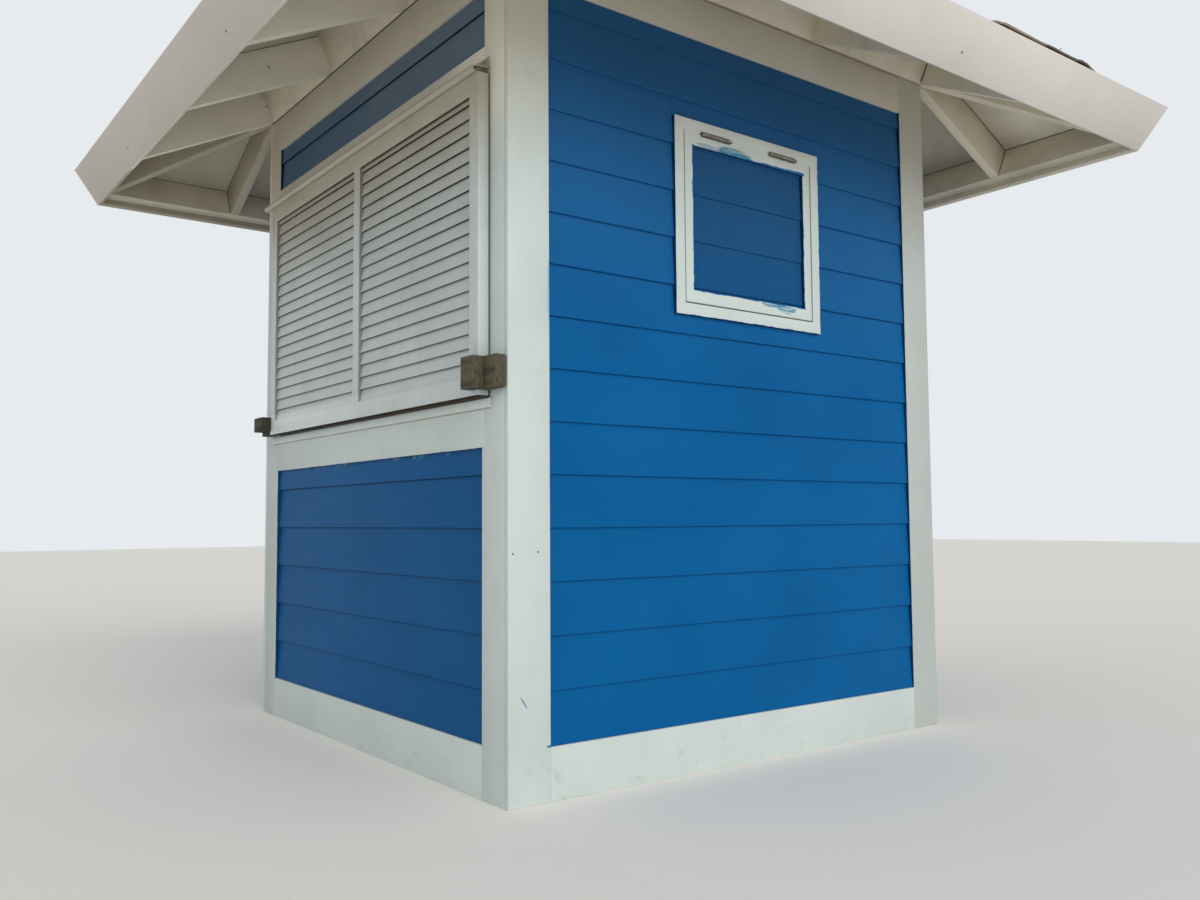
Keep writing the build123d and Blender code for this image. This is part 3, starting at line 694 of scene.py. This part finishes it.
boards = {
    "corner_boards_sides": whiteUpright, "corner_boards_ends": whiteUprightEnds, "skirt_boards": whiteLevel,
    "frieze_boards": whiteFrieze, "front_casing": whiteCasing, "front_sill_strip": whiteSill,
    "hatch_casings": whiteHatchCasing, "back_door_casing": whiteLevel, "rafters_ends": whiteEave,
    "rafters_sides": whiteEave, "rafter_blocking": whiteBlocking, "sub_fascia_ends": whiteBlocking,
    "sub_fascia_sides": whiteBlocking, "hip_rafters": whiteEave, "left_hatch_frame": whiteFlap,
    "floor_joists": joistTimber, "floor_rims": joistTimber, "king_block": roofTimber,
}
for nodeName, material in boards.items():
    bare = material in (joistTimber, roofTimber)
    easedNode(nodeName, material, "cabin")
easedNode("right_hatch_frame", whiteFlap, "right_hatch")
for nodeName, material in (("fascia_ends", whiteFascia), ("fascia_sides", whiteFasciaSides)):
    easedNode(nodeName, [material, whiteEave], "cabin", choose=fasciaFaces)
easedNode("shutter_frame", [shutterWhite, gapDark, revealShade, slatShade], "shutter",
          0.0014, 3, shutterFaces)
easedNode("shutter_hinge_sleeve", shutterWhite, "shutter", 0.0006, 1)
easedNode("shutter_hinge_rail", shutterWhite, "cabin", 0.0006, 1)
for nodeName in ("shutter_keepers_back", "shutter_keepers_front"):
    easedNode(nodeName, [blockTimber, darkerTimber], "shutter", 0.002, choose=keeperFaces)
print("boards eased")

# Slats: painted shade darkens their undersides and the heads that the next slat laps
louver = {"ease": 0.0006, "shade": 0.0002, "footGap": 0.0021}


def louverBay(side):
    node = "shutter_louvers_" + side
    bm = cleanNode(node)
    easeEdges(bm, hardEdges(bm), louver["ease"], 1)
    slats, seen = [], set()
    for start in bm.verts:
        if start in seen:
            continue
        group, reach = {start}, [start]
        while reach:
            for edge in reach.pop().link_edges:
                for vert in edge.verts:
                    if vert not in group:
                        group.add(vert)
                        reach.append(vert)
        seen |= group
        slats.append(group)
    slats.sort(key=lambda group: min(vert.co.z for vert in group))
    feet = [min(vert.co.z for vert in group) for group in slats]
    for vert in slats[0]:
        if vert.co.z < feet[0] + 0.001:
            vert.co.z -= louver["footGap"]  # the lowest slat stands on the rail
    for group, nextFoot in zip(slats, feet[1:] + [shutterTop]):
        line = nextFoot - louver["shade"]
        faces = {face for vert in group for face in vert.link_faces}
        edges = {edge for vert in group for edge in vert.link_edges}
        if max(vert.co.z for vert in group) > line:
            cut = bmesh.ops.bisect_plane(bm, geom=list(group | edges | faces), plane_co=(0, 0, line),
                                         plane_no=(0, 0, 1))
            faces = {item for item in cut["geom"] if isinstance(item, bmesh.types.BMFace)}
        bm.normal_update()
        for face in faces:
            covered = face.calc_center_median().z > line and face.normal.y < -0.3
            face.material_index = int(face.normal.z < -0.5 or covered)
    addPiece("slats_" + side, bm, [slatWhite, slatShade], "shutter", node)


louverBay("left")
louverBay("right")
print("slats set")

# Nodes whose own shape stays: they only take a finish.
plainNodes = {
    "floor_deck": floorPly, "roof_deck": whiteDeck, "right_hatch_hinges_fixed": hingeFinish,
    "right_hatch_hinges_moving": hingeFinish, "left_hatch_hinges": hingeFinish,
    "back_door_fittings": fittingSteel, "back_wall_over_door": interiorPly,
}
plainNodes.update({wall + "_wall_piers": interiorPly for wall in wallTurns})
plainNodes.update({wall + "_wall_infills": interiorPly for wall in ("front", "right", "left")})
for nodeName, material in plainNodes.items():
    data = frame["nodes"][nodeName].data
    data.materials.clear()
    data.materials.append(material)


# Lap siding: each course is a tapered board that stands on the one below
siding = {
    "exposure": 0.1524,      # height of a board that shows
    "lap": 0.018,            # height that the next board covers
    "butt": 0.008,           # how far a board's foot stands proud of the one below
    "proud": 0.012,          # foot of a board out from the sheathing
    "ease": 0.0012,          # rounding of the foot
    "step": 0.07,            # spacing of the small waves along a board
    "wave": 0.0005,
    "sag": 0.0007,
}


def sidingBoard(bm, wall, x0, x1, z0, z1, foot, seed, base, scale):
    # One length of board as a closed mesh, cut to z0..z1. foot is where the whole board would start.
    exposure, butt = siding["exposure"], siding["butt"] * scale
    proud, back = siding["proud"] * scale, (siding["proud"] - siding["butt"]) * scale
    total = exposure + siding["lap"]

    def front(z):
        return proud - butt * (z - foot) / exposure

    def rear(z):
        return max(back * (1 - (z - foot) / total), 0.0)

    ease = siding["ease"] * scale
    columns = max(2, int((x1 - x0) / siding["step"]) + 1)
    rings = []
    for i in range(columns + 1):
        x = x0 + (x1 - x0) * i / columns
        wave = noise.noise(Vector((x * 2.2, seed * 7.31, 0.0))) * siding["wave"] * scale
        sag = noise.noise(Vector((x * 1.7, seed * 3.77, 5.0))) * siding["sag"] if z0 == foot else 0.0
        profile = [(rear(z0), z0 + sag), (front(z0) - ease, z0 + sag), (front(z0) + wave, z0 + ease + sag)]
        middle = z0 + (z1 - z0) / 2
        profile += [(front(middle) + wave, middle), (max(front(z1), rear(z1) + 0.0004), z1), (rear(z1), z1)]
        rings.append([bm.verts.new(wallPoint(wall, x, base + out, z)) for out, z in profile])
    closedSkin(bm, rings)


def sidingField(bm, wall, x0, x1, low, high, hole=None, base=coreFace, scale=1.0, seed=0):
    exposure = siding["exposure"]
    course = math.floor((low - fieldLow) / exposure + 1e-6)
    while fieldLow + course * exposure < high - 0.001:
        foot = fieldLow + course * exposure
        z0, z1 = max(low, foot), min(high, foot + exposure + siding["lap"])
        spans = [(x0, x1, z0, z1)]
        if hole and z1 > hole[2] and z0 < hole[3]:
            spans = [(x0, hole[0], z0, z1), (hole[1], x1, z0, z1)]
            if z0 < hole[2] - 0.002:
                spans.append((hole[0], hole[1], z0, hole[2]))
            if z1 > hole[3] + 0.002:
                spans.append((hole[0], hole[1], hole[3], z1))
        for a, b, c, d in spans:
            sidingBoard(bm, wall, a, b, c, d, foot, seed + course + 1, base, scale)
        course += 1


def sidingPiece(name, material, body, replaced, fields):
    bm = bmesh.new()
    for field in fields:
        sidingField(bm, **field)
    addPiece(name, bm, material, body, replaced, 20.0)


sidingPiece("front_lap_boards", blueFront, "cabin", "front_siding", [
    dict(wall="front", x0=-sideHalf, x1=sideHalf, low=fieldLow, high=casingLow),
    dict(wall="front", x0=-frontHalf, x1=frontHalf, low=casingHigh, high=fieldHigh, seed=40)])
hatchHole = (-hatchOuter, hatchOuter, hatchLow, hatchHigh)
doorHole = (-doorOuter, doorOuter, 0.0, doorTop)
for wall, half, hole, seed in (("right", sideHalf, hatchHole, 80), ("left", sideHalf, hatchHole, 120),
                               ("back", frontHalf, doorHole, 160)):
    sidingPiece(wall + "_lap_boards", bluePlain, "cabin", wall + "_siding", [
        dict(wall=wall, x0=-half, x1=half, low=fieldLow, high=fieldHigh, hole=hole, seed=seed)])
panelBase = nodeSpan("right_hatch_panel", 0)[0]
for side, body in (("right", "right_hatch"), ("left", "cabin")):
    sidingPiece(side + "_flap_boards", bluePanel, body, side + "_hatch_panel", [
        dict(wall=side, x0=-panelHalf, x1=panelHalf, low=panelLow, high=panelHigh,
             base=panelBase, scale=0.55, seed=200)])
print("siding laid")

# Back door: upright tongue-and-groove planks
door = {"planks": 6, "groove": 0.0025, "ease": 0.003}


def plankDoor():
    low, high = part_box("back_door")
    bm = bmesh.new()
    width = (high.x - low.x) / door["planks"]
    for i in range(door["planks"]):
        x0 = low.x + width * i + (door["groove"] / 2 if i else 0.0)
        x1 = low.x + width * (i + 1) - (door["groove"] / 2 if i < door["planks"] - 1 else 0.0)
        middle, size = (low + high) / 2, high - low
        middle.x, size.x = (x0 + x1) / 2, x1 - x0
        easedBox(bm, middle, size, door["ease"])
    addPiece("back_door_planks", bm, bluePlain, "cabin", "back_door")


plankDoor()
print("door built")

# Roof covering: three-tab shingles on each slope, bent caps on the hips
shingles = {
    "exposure": 0.127,       # height of a course that shows
    "lap": 0.055,            # length under the next course
    "tab": 0.305,            # width of a tab
    "slot": 0.007,           # cut between tabs
    "thick": 0.003,
    "lift": 0.0007,
    "setback": 0.021,        # first course back from the fascia's face
}
hips = {
    "setback": 0.040,        # hip caps back from the fascia's face
    "half": 0.098,           # half width of a cap
    "bend": 0.119,           # how far each side bends down, before the roof's slope
    "spacing": 0.13,
    "length": 0.19,
    "thick": 0.0035,
    "foot": 0.020,           # lowest cap back from the roof's corner
    "bare": 0.08,            # length of hip left without caps
    "heights": (0.0072, 0.0080, 0.0068),   # the lowest cap's foot, the other feet and the heads
}
pitch = math.atan2(1, 2)
slopeUp = Vector((0.0, math.cos(pitch), math.sin(pitch)))
slopeOut = Vector((0.0, -math.sin(pitch), math.cos(pitch)))
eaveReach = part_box("fascia_ends")[1].x
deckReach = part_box("roof_deck")[1].x
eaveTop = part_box("fascia_ends")[1].z - (eaveReach - deckReach) * math.tan(pitch)


def slopePoint(wall, across, along, rise):
    # A point of a slope: across it, up it from the eave, and out from the deck's top.
    point = Vector((across, -eaveReach, eaveTop)) + slopeUp * along + slopeOut * rise
    return wallPoint(wall, point.x, -point.y, point.z)


def shingleSlope(bm, toneLayer, wall, rng):
    slopeLength = eaveReach / math.cos(pitch)
    courses = int((slopeLength - shingles["setback"]) / shingles["exposure"]) + 1
    for course in range(courses):
        foot = shingles["setback"] + course * shingles["exposure"]
        head = min(foot + shingles["exposure"] + shingles["lap"], slopeLength - 0.004)
        if head - foot < 0.02:
            continue
        start = -eaveReach - rng.random() * shingles["tab"]
        while start < eaveReach:
            x0, x1 = start + shingles["slot"] / 2, start + shingles["tab"] - shingles["slot"] / 2
            start += shingles["tab"]
            tone, lift, slide = rng.random(), rng.random() * shingles["lift"], (rng.random() - 0.5) * 0.004
            ends = []
            for along in (foot + slide * (course > 0), head):
                room = max(eaveReach - along * math.cos(pitch) - 0.002, 0.0)  # half width of the slope here
                ends.append((max(min(x0, room), -room), max(min(x1, room), -room), along))
            (a0, b0, s0), (a1, b1, s1) = ends
            if b0 - a0 < 0.004 and b1 - a1 < 0.004:
                continue
            under0, under1 = 0.0034 + lift if course else 0.0004, 0.0004
            ring = [(a0, s0, under0), (b0, s0, under0), (b1, s1, under1), (a1, s1, under1)]
            lower = [bm.verts.new(slopePoint(wall, *corner)) for corner in ring]
            upper = [bm.verts.new(slopePoint(wall, x, s + 0.0008 * (s == s0), r + shingles["thick"]))
                     for x, s, r in ring]
            for face in closedSkin(bm, [lower, upper]):
                face[toneLayer] = tone


def shingleRoof():
    rng = random.Random(11)
    bm = bmesh.new()
    toneLayer = bm.faces.layers.float.new("tone")
    for wall in wallTurns:
        shingleSlope(bm, toneLayer, wall, rng)
    bmesh.ops.dissolve_degenerate(bm, edges=bm.edges, dist=1e-5)
    addPiece("roof_tabs", bm, roofStone, "cabin", "roof_shingles", 0.0)


def hipCaps():
    rng = random.Random(12)
    bm = bmesh.new()
    toneLayer = bm.faces.layers.float.new("tone")
    apex = Vector((0.0, 0.0, eaveTop + eaveReach * math.tan(pitch)))
    fall = hips["bend"] / math.sqrt(2) * math.sin(pitch)
    for quarter in range(4):
        angle = math.radians(45 + 90 * quarter)
        outward = Vector((math.cos(angle), math.sin(angle), 0.0))
        corner = outward * eaveReach * math.sqrt(2) + Vector((0.0, 0.0, eaveTop))
        down = (corner - apex).normalized()
        across = Vector((-outward.y, outward.x, 0.0))
        upward = down.cross(across).normalized()
        upward = upward if upward.z > 0 else -upward
        flat, thickness = Vector(), upward * hips["thick"]
        length = (corner - apex).length
        count = int(length / hips["spacing"])
        for i in range(count):
            low = length - hips["foot"] - i * (length - hips["bare"]) / count
            rows = ((low, hips["heights"][min(i, 1)]), (max(low - hips["length"], 0.02), hips["heights"][2]))
            bent = [(t * hips["half"], fall * (math.sqrt(t * t + 0.02) - math.sqrt(0.02)))
                    for t in (-1.0, -0.5, 0.0, 0.5, 1.0)]
            grids = [[[bm.verts.new(apex + down * place + across * out + upward * (base - drop) + raised)
                       for out, drop in bent] for place, base in rows] for raised in (flat, thickness)]
            tone, (lower, upper), faces = rng.random(), grids, []
            for k in range(4):
                faces += [bm.faces.new(corners) for corners in (
                    (lower[0][k], lower[1][k], lower[1][k + 1], lower[0][k + 1]),
                    (upper[0][k], upper[0][k + 1], upper[1][k + 1], upper[1][k]),
                    (lower[0][k], lower[0][k + 1], upper[0][k + 1], upper[0][k]),
                    (lower[1][k + 1], lower[1][k], upper[1][k], upper[1][k + 1]))]
            faces += [bm.faces.new((lower[0][k], upper[0][k], upper[1][k], lower[1][k])) for k in (0, 4)]
            for face in faces:
                face[toneLayer] = tone
    for normal in ((1, 0, 0), (-1, 0, 0), (0, 1, 0), (0, -1, 0)):
        edge = Vector(normal) * (eaveReach - hips["setback"])
        cut = bmesh.ops.bisect_plane(bm, geom=bm.verts[:] + bm.edges[:] + bm.faces[:], plane_co=edge,
                                     plane_no=normal, clear_outer=True)["geom_cut"]
        bmesh.ops.holes_fill(bm, edges=[item for item in cut if isinstance(item, bmesh.types.BMEdge)])
    addPiece("hip_cap_tabs", bm, roofStone, "cabin", "hip_caps", 40.0)


# Felt that has lifted along part of the eave over the hatch wall
felt = {
    "grid": (60, 6),         # parts along the eave and up the slope
    "reach": 0.11,           # how far up the slope it has come loose
    "setback": 0.0095,
    "thick": 0.0022,
    "edge": 0.0060,          # thickness of its doubled edge
    "brownFrom": 0.76,       # place where the tan length ends
    "profile": ((0.434, 0.0004), (0.478, 0.0054), (0.517, 0.0098), (0.575, 0.0087), (0.628, 0.0077),
                (0.706, 0.0060), (0.804, 0.0084), (0.854, 0.0066), (0.899, 0.0062), (0.945, 0.0069),
                (0.976, 0.0111), (1.005, 0.0093), (1.049, 0.0030), (1.080, 0.0004)),
    "nail": (0.850, 0.0010, 0.016),   # place, radius and length of a nail that stands up
}


def feltHeight(across):
    points = felt["profile"]
    for (a, low), (b, high) in zip(points[:-1], points[1:]):
        if a <= across <= b:
            t = (across - a) / (b - a)
            return low + (high - low) * t * t * (3 - 2 * t)
    return points[-1][1]


def liftedFelt():
    bm = bmesh.new()
    columns, rows = felt["grid"]
    first, last = felt["profile"][0][0], felt["profile"][-1][0]

    def feltVert(across, back, upper):
        ripple = noise.noise(Vector((across * 14.0, back * 2.0, 3.0))) * 0.0008 * (1 - back)
        rise = 0.0068 * back + feltHeight(across) * (1 - back) ** 1.6 + ripple
        if upper:
            ends = min(1.0, (across - first) / 0.03, (last - across) / 0.05)
            rise += felt["thick"] + (felt["edge"] - felt["thick"]) * (1 - back) ** 3 * ends
        return bm.verts.new(slopePoint("right", across, felt["setback"] + felt["reach"] * back, rise))

    grids = [[[feltVert(first + (last - first) * i / columns, j / rows, upper) for j in range(rows + 1)]
              for i in range(columns + 1)] for upper in (False, True)]
    for face in slab(bm, *grids):
        face.material_index = int(face.calc_center_median().y > felt["brownFrom"])
    addPiece("lifted_felt", bm, [feltTan, feltBrown], "cabin", smoothAngle=50.0)


def standingNail():
    across, radius, length = felt["nail"]
    foot = slopePoint("right", across, felt["setback"] + 0.006, feltHeight(across) + 0.002)
    lean = Vector((0.0, 0.30, 1.0)).normalized()
    bm = bmesh.new()
    turn = lean.to_track_quat("Z", "Y").to_matrix().to_4x4()
    rod(bm, foot + lean * length / 2, turn, radius, length, 10)
    rod(bm, foot + lean * length, turn, radius * 2.2, radius, 12, radius * 1.6)
    addPiece("standing_nail", bm, nailSteel, "cabin")


shingleRoof()
hipCaps()
liftedFelt()
standingNail()
print("roof covered")

# Nail heads and screws
rafterRun = 2 * trimFace - 0.038
fasteners = {
    "nailRadius": 0.0042, "nailProud": 0.0007, "nailSink": 0.0004,
    "boardHeights": (0.10, 1.28, 1.87, 2.40), "boardInsets": (0.024, 0.105),
    "bareRadius": 0.0046, "bareProud": 0.0006,
    "fasciaNails": (0.342, -0.86), "fasciaDrop": 0.119,
    "rafterOut": (0.035, 0.245), "rafterRise": 0.079,
    "rafterPlaces": [-rafterRun / 2 + rafterRun * i / 3 for i in range(4)],
    "rafterHalf": 0.019,
    "cornerNails": ((0.041, 0.694), (0.124, 0.690)),
    "railScrews": 8, "railEnd": 0.025,
    "screw": (0.0036, 0.0022),   # radius and height of a screw's head
    "screwPlace": (0.023, 0.0095),   # out from the sheathing, down from the rail's top
    "beadHole": 0.0050,      # radius of the dark disc painted as shade in the open end of the rail's bead
    "beadInset": 0.0120,     # from the shutter's right edge
    "plate": (0.0016, 0.0080),   # thickness and height of the rail's end plate
    "platePlace": (0.0115, 0.0075),   # back from the rail's face, up from its foot
    "plateGap": 0.0045,      # height of the dark box painted as the shadow under it
}


def hingePlace(name):
    return next(joint["pos_m"] for joint in frame["joints"] if joint["name"] == name)


def headMesh(bm, centre, normal, radius, proud, sides=10):
    turn = normal.to_track_quat("Z", "Y").to_matrix().to_4x4()
    rings = []
    angles = [2 * math.pi * k / sides for k in range(sides)]
    for size, rise in ((1.0, -fasteners["nailSink"]), (1.0, proud * 0.35), (0.72, proud * 0.85)):
        size *= radius
        corners = [Vector((math.cos(angle) * size, math.sin(angle) * size, rise)) for angle in angles]
        rings.append([bm.verts.new(centre + turn @ corner) for corner in corners])
    top = bm.verts.new(centre + normal * proud)
    skin(bm, rings)
    for k in range(sides):
        bm.faces.new((rings[-1][k], rings[-1][(k + 1) % sides], top))
    bm.faces.new(rings[0][::-1])


def trimNails():
    rng = random.Random(5)
    bm = bmesh.new()
    radius, proud = fasteners["nailRadius"], fasteners["nailProud"]
    for wall, half in (("front", frontHalf), ("back", frontHalf), ("right", sideHalf), ("left", sideHalf)):
        normal = wallPoint(wall, 0, 1, 0)
        for side in (-1, 1):
            for z in fasteners["boardHeights"]:
                for inset in fasteners["boardInsets"]:
                    across = side * (half + inset + rng.uniform(-0.003, 0.003))
                    mark = wallPoint(wall, across, trimFace, z + rng.uniform(-0.008, 0.008))
                    headMesh(bm, mark, normal, radius, proud)
    addPiece("trim_nail_heads", bm, whiteUpright, "cabin")


def bareNails():
    # Heads that show through the paint: on each fascia, on the rafters' sides, and low on the corner boards.
    bm = bmesh.new()
    radius, proud = fasteners["bareRadius"], fasteners["bareProud"]
    for wall in wallTurns:
        turn = Matrix.Rotation(math.radians(90 * wallTurns[wall]), 3, "Z")
        for across in fasteners["fasciaNails"]:
            mark = slopePoint(wall, across, 0.0, -fasteners["fasciaDrop"])
            headMesh(bm, mark, turn @ -slopeUp, radius, proud)
        for i, across in enumerate(fasteners["rafterPlaces"]):
            out = fasteners["rafterOut"][i % 2]
            height = wallTop - out / 2 + fasteners["rafterRise"]
            for side in (-1, 1):
                point = Vector((across + side * fasteners["rafterHalf"], -trimFace - out, height))
                headMesh(bm, turn @ point, turn @ Vector((side, 0, 0)), radius * 0.8, proud)
    for inset, z in fasteners["cornerNails"]:
        mark = wallPoint("right", -sideHalf - inset, trimFace, z)
        headMesh(bm, mark, Vector((1, 0, 0)), radius * 0.7, proud)
    addPiece("bare_nail_heads", bm, nailSteel, "cabin")


def railFixings():
    # Pan heads along the shutter's rail, and at its right end the plate, with a dark box under it as
    # painted shadow and a dark disc as painted shade in the open end of the bead.
    bm = bmesh.new()
    low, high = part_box("shutter_hinge_rail")
    count, end, (out, down) = fasteners["railScrews"], fasteners["railEnd"], fasteners["screwPlace"]
    for i in range(count):
        x = low.x + end + (high.x - low.x - 2 * end) * i / (count - 1)
        headMesh(bm, Vector((x, -coreFace - out, high.z - down)), Vector((0, -1, 0)), *fasteners["screw"])
    thick, height = fasteners["plate"]
    front, foot = low.y + fasteners["platePlace"][0], low.z + fasteners["platePlace"][1]
    middleY, width = (front - trimFace) / 2, abs(front + trimFace)
    x = high.x + thick / 4
    gap = fasteners["plateGap"]
    easedBox(bm, (x, middleY, foot + gap + height / 2), (thick, width, height), 0.0004, 1)
    easedBox(bm, (x - 0.0004, middleY - width * 0.08, foot + gap / 2), (thick, width * 0.80, gap), 0.0004, 2)
    marked = len(bm.faces)
    hinge = hingePlace("shutter_hinge")
    headMesh(bm, Vector((shutterRight - fasteners["beadInset"], hinge[1], hinge[2])), Vector((1, 0, 0)),
             fasteners["beadHole"], 0.0004, 16)
    bm.faces.ensure_lookup_table()
    for face in bm.faces[marked:]:
        face.material_index = 2
    addPiece("rail_fixings", bm, [nailSteel, fittingSteel, gapDark], "cabin")


# Paint has closed the joint over each flap, between and beside its hinges
bead = {"radius": 0.0034, "sunk": 0.0008, "inset": 0.0385, "clear": 0.008}


def hatchBead():
    clear, reach, height = bead["clear"], hatchOuter - bead["inset"], hingePlace("right_hatch_hinge")[2]
    for side, sign, hinges in (("right", 1, ("right_hatch_hinges_fixed", "right_hatch_hinges_moving")),
                               ("left", -1, ("left_hatch_hinges",))):
        spans = []
        for hinge in hinges:
            bm = cleanNode(hinge)
            for face in bm.faces:
                places = [vert.co.y for vert in face.verts]
                spans.append((min(places), max(places)))
            bm.free()
        runs, position = [], -reach
        for low, high in sorted(spans):
            if low - clear > position:
                runs.append((position, low - clear))
            position = max(position, high + clear)
        bm = bmesh.new()
        for low, high in runs + [(position, reach)]:
            middle = (sign * (flapFace - bead["sunk"]), (low + high) / 2, height)
            rod(bm, middle, Matrix.Rotation(math.radians(90), 4, "X"), bead["radius"], high - low, 14)
        addPiece(side + "_hatch_bead", bm, whiteHatchCasing, "cabin")


trimNails()
bareNails()
railFixings()
hatchBead()
print("fasteners set")

# Painted shade: dark strips in the open joints under the eaves, where the deck meets the rafters and the
# board behind the fascia, paler on the side walls except at the crack
joints = {
    "width": 0.0024, "proud": 0.0016,
    "sunk": 0.0004,          # into the boards
    "deck": 0.019,           # depth of the deck's underside below its top
    "foot": 0.057,           # the board behind the fascia, up the slope
    "rafter": 0.150,         # depth of the rafters' undersides
    "crack": 0.0042,         # the open joint at the far end of the blocking over the hatch wall
}


def eaveJoints():
    bm = bmesh.new()
    half, width, foot, sunk = fasteners["rafterHalf"], joints["width"], joints["foot"], joints["sunk"]
    deck, places = joints["deck"], fasteners["rafterPlaces"]
    shallow = deck + joints["proud"]

    def fill(wall, corners, depth):
        # Fills an outline, given as across and along, from just within the deck down to a depth.
        closedSkin(bm, [[bm.verts.new(slopePoint(wall, *corner, -level)) for corner in corners]
                        for level in (deck - sunk, depth)])

    def upright(wall, edge, side, along, up, reach):
        # The joint between a rafter's side and a board that meets it.
        outline = ((-sunk, -sunk), (reach, -sunk), (reach, reach / 2), (-sunk, reach / 2))
        fill(wall, [(edge + side * a, along + up * b) for a, b in outline], joints["rafter"])

    atWall = (eaveReach - trimFace) / math.cos(pitch) - 0.012
    last = eaveReach - foot * math.cos(pitch) - 0.03
    for wall in wallTurns:
        for across in places:
            for side in (-1, 1):
                edge = across + side * half
                out = edge + side * width
                fill(wall, ((edge, foot), (out, foot), (out, atWall), (edge, atWall)), shallow)
                upright(wall, edge, side, foot, 1, width)
        for a, b in zip([-last] + [x + half for x in places], [x - half for x in places] + [last]):
            fill(wall, ((a, foot), (a, foot + width), (b, foot + width), (b, foot)), shallow)
    marked = len(bm.faces)
    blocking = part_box("rafter_blocking")[1].x + deck * math.sin(pitch)
    upright("right", places[-1] - half, -1, (eaveReach - blocking) / math.cos(pitch), -1, joints["crack"])
    for index, face in enumerate(bm.faces):
        middle = face.calc_center_median()
        face.material_index = int(index < marked and abs(middle.x) > abs(middle.y))
    addPiece("eave_joints", bm, [gapDark, eaveShade], "cabin")


eaveJoints()
print("joints drawn")

# Floor, lights and camera
stage = {
    "floorSize": 60.0, "floorColour": (0.90, 0.88, 0.84),
    "sky": ((0.96, 0.98, 1.0), 0.50), "backdrop": ((0.80, 0.83, 0.86), 1.0),
    # direction, strength, spread and colour of each light
    "key": ((0.93, -0.10, 0.38), 1.70, 50.0, (1.0, 0.99, 0.965)),
    "fill": ((-0.10, -0.95, 0.14), 0.40, 45.0, (0.98, 0.99, 1.0)),
}
view = {"place": (3.409, -2.491, 0.783), "turn": (-52.94, 3.808, -0.3865), "lens": 31.38, "film": 36.0}


def buildStage():
    bpy.ops.mesh.primitive_plane_add(size=stage["floorSize"])
    floor = bpy.context.object
    floor.name = "floor"
    material, shader, *_ = newMaterial("floorPale")
    coat(shader, stage["floorColour"], 0.9)
    floor.data.materials.append(material)

    world = bpy.data.worlds.new("studio")
    bpy.context.scene.world = world
    world.use_nodes = True
    tree = world.node_tree
    tree.nodes.clear()
    path = tree.nodes.new("ShaderNodeLightPath").outputs
    either = calc("MAXIMUM", Value(path["Is Camera Ray"]), Value(path["Is Glossy Ray"]))
    shown = [calc("MAXIMUM", either, Value(path["Is Transmission Ray"]))]
    for colour, strength in (stage["sky"], stage["backdrop"]):
        backdrop = tree.nodes.new("ShaderNodeBackground")
        feed(colour, backdrop.inputs[0])
        feed(strength, backdrop.inputs[1])
        shown.append(Value(backdrop.outputs[0]))
    feed(addNode("MixShader", dict(enumerate(shown))), tree.nodes.new("ShaderNodeOutputWorld").inputs[0])

    for name in ("key", "fill"):
        direction, strength, spread, colour = stage[name]
        lamp = bpy.data.lights.new(name, "SUN")
        lamp.energy, lamp.angle, lamp.color = strength, math.radians(spread), colour
        holder = bpy.data.objects.new(name, lamp)
        holder.rotation_euler = Vector(direction).to_track_quat("Z", "Y").to_euler()
        bpy.context.scene.collection.objects.link(holder)


def buildCamera():
    yaw, tilt, roll = (math.radians(angle) for angle in view["turn"])
    ahead = Vector((math.sin(yaw) * math.cos(tilt), math.cos(yaw) * math.cos(tilt), math.sin(tilt)))
    levelRight = Vector((math.cos(yaw), -math.sin(yaw), 0.0))
    levelUp = levelRight.cross(ahead)
    right = levelRight * math.cos(roll) + levelUp * math.sin(roll)
    up = levelUp * math.cos(roll) - levelRight * math.sin(roll)
    camera = bpy.data.objects.new("camera", bpy.data.cameras.new("camera"))
    camera.data.lens, camera.data.sensor_width = view["lens"], view["film"]
    camera.matrix_world = Matrix.Translation(view["place"]) @ Matrix(
        (right, up, -ahead)).transposed().to_4x4()
    bpy.context.scene.collection.objects.link(camera)
    bpy.context.scene.camera = camera


buildStage()
buildCamera()
bpy.context.scene.view_settings.view_transform = "Standard"
print("stage set")
